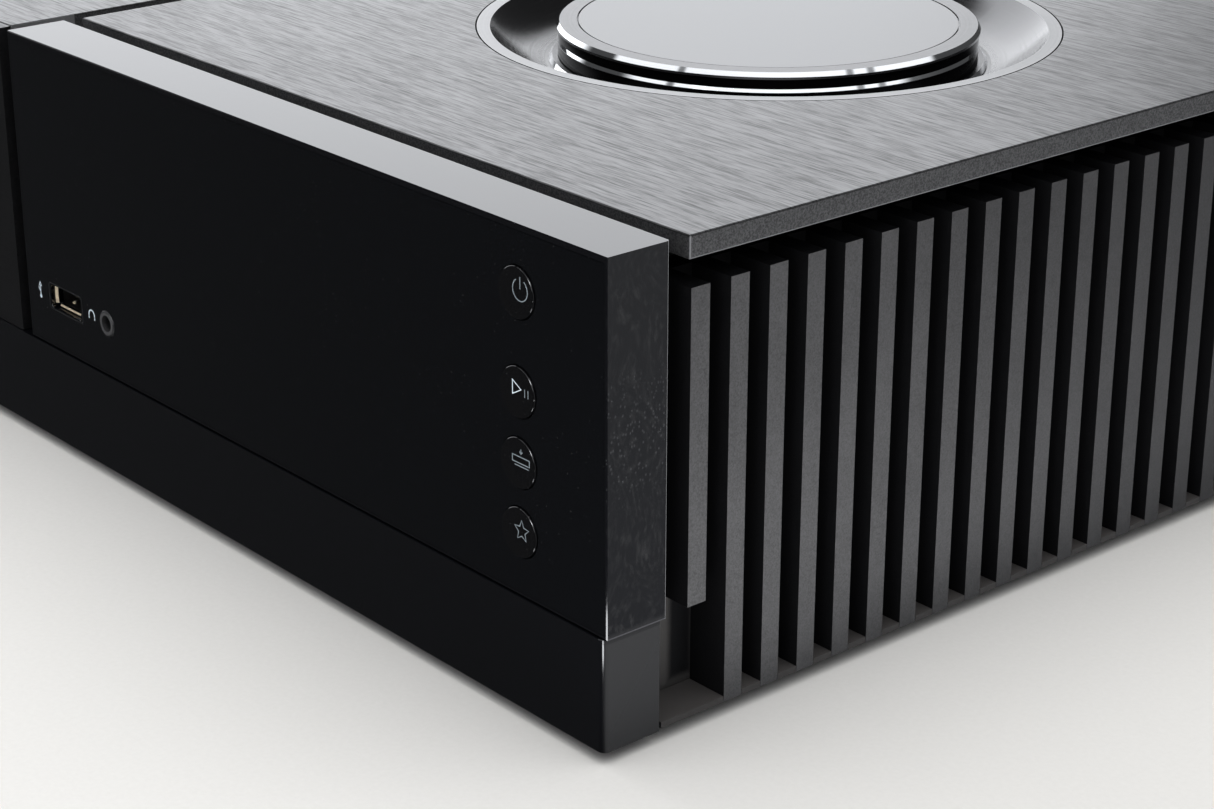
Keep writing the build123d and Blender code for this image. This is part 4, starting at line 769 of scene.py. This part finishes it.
AMBIENT = 0.06
panel = lobe(2.3, 160, 27, 13, 3, 34, 8)
front_box = lobe(1.1, -39, 103, 4, 31, 60, 4)
for gap in (-103, 14, 27):
    dark_gap = times(sky, bearing(gap, 1.0, 2.5), 0.85)
    front_box = times(sky, front_box, math_node(sky, "SUBTRACT", 1.0, dark_gap))
lower_shade = span(sky, up, sine(-27), sine(-17), 0.26, 0.42)
right_low = lobe(lower_shade, 14, 22, 30, -60, 0, 6)
right_high = lobe(0.1, -5, 30, 50, 5, 60, 12)
rear_low = lobe(0.4, 96, 14, 14, -40, -8, 4)
top_soft = times(sky, tilt(60, 90, 14), 0.5)
glow = plus(sky, panel, front_box, right_low, right_high, rear_low, top_soft, AMBIENT)
# Small strong lamps that only reflections see, as glints on polished edges.
key_glint = lobe(26.0, -62, 8, 4, 25, 37, 3)
edge_glint = lobe(1.6, -60, 24, 8, 6, 38, 4)
table_glint = lobe(14.0, -66, 8, 5, -63, -52, 3)
corner_glint = lobe(16.0, -54, 9, 4, -27.3, -26.5, 0.3)
rear_glint = lobe(6.0, 97, 11, 7, -28, -16, 3)
path = sky.nodes.new("ShaderNodeLightPath")
glints = plus(sky, key_glint, edge_glint, table_glint, corner_glint, rear_glint)
glow = plus(sky, glow, times(sky, path.outputs["Is Glossy Ray"], glints))
seen = node(sky, "ShaderNodeBackground", Color=(0.8, 0.79, 0.77, 1))
seen.inputs["Strength"].default_value = 0.95
lit = node(sky, "ShaderNodeBackground", {"Strength": glow}, Color=(0.95, 0.967, 1.0, 1))
join = sky.nodes.new("ShaderNodeMixShader")
sky.links.new(path.outputs["Is Camera Ray"], join.inputs["Fac"])
sky.links.new(lit.outputs[0], join.inputs[1])
sky.links.new(seen.outputs[0], join.inputs[2])
ending = sky.nodes.new("ShaderNodeOutputWorld")
sky.links.new(join.outputs[0], ending.inputs["Surface"])


def area_light(name, place, target, size, power):
    """A soft lamp that looks at a point; it isn't seen itself, in view or in polish."""
    data = bpy.data.lights.new(name, "AREA")
    data.shape = "RECTANGLE"
    data.size, data.size_y = size
    data.energy = power
    lamp = bpy.data.objects.new(name, data)
    bpy.context.collection.objects.link(lamp)
    lamp.location = place
    lamp.rotation_mode = "QUATERNION"
    lamp.rotation_quaternion = (Vector(target) - Vector(place)).to_track_quat("-Z", "Y")
    lamp.visible_camera = False
    lamp.visible_glossy = False


area_light("overhead", (0.15, -0.05, 1.7), (0.1, 0.0, 0.0), (2.2, 2.2), 30.0)
area_light("table_bounce", (0.266, -0.135, 0.0015), (0.266, -0.1349, 1.0), (0.06, 0.33), 0.36)

# --------------------------------------------------------------------- camera
CAMERA_PLACE = (0.52998, -0.39977, 0.23495)
CAMERA_LOOK = (-0.7058, 0.6018, -0.3738)
CAMERA_LENS = 79.66
camera_data = bpy.data.cameras.new("camera")
camera = bpy.data.objects.new("camera", camera_data)
bpy.context.collection.objects.link(camera)
camera_data.lens = CAMERA_LENS
camera_data.sensor_width = 36.0
camera_data.clip_start = 0.02
camera_data.clip_end = 50.0
camera.location = CAMERA_PLACE
camera.rotation_mode = "QUATERNION"
camera.rotation_quaternion = Vector(CAMERA_LOOK).to_track_quat("-Z", "Y")
bpy.context.scene.camera = camera
bpy.context.scene.view_settings.view_transform = "Standard"
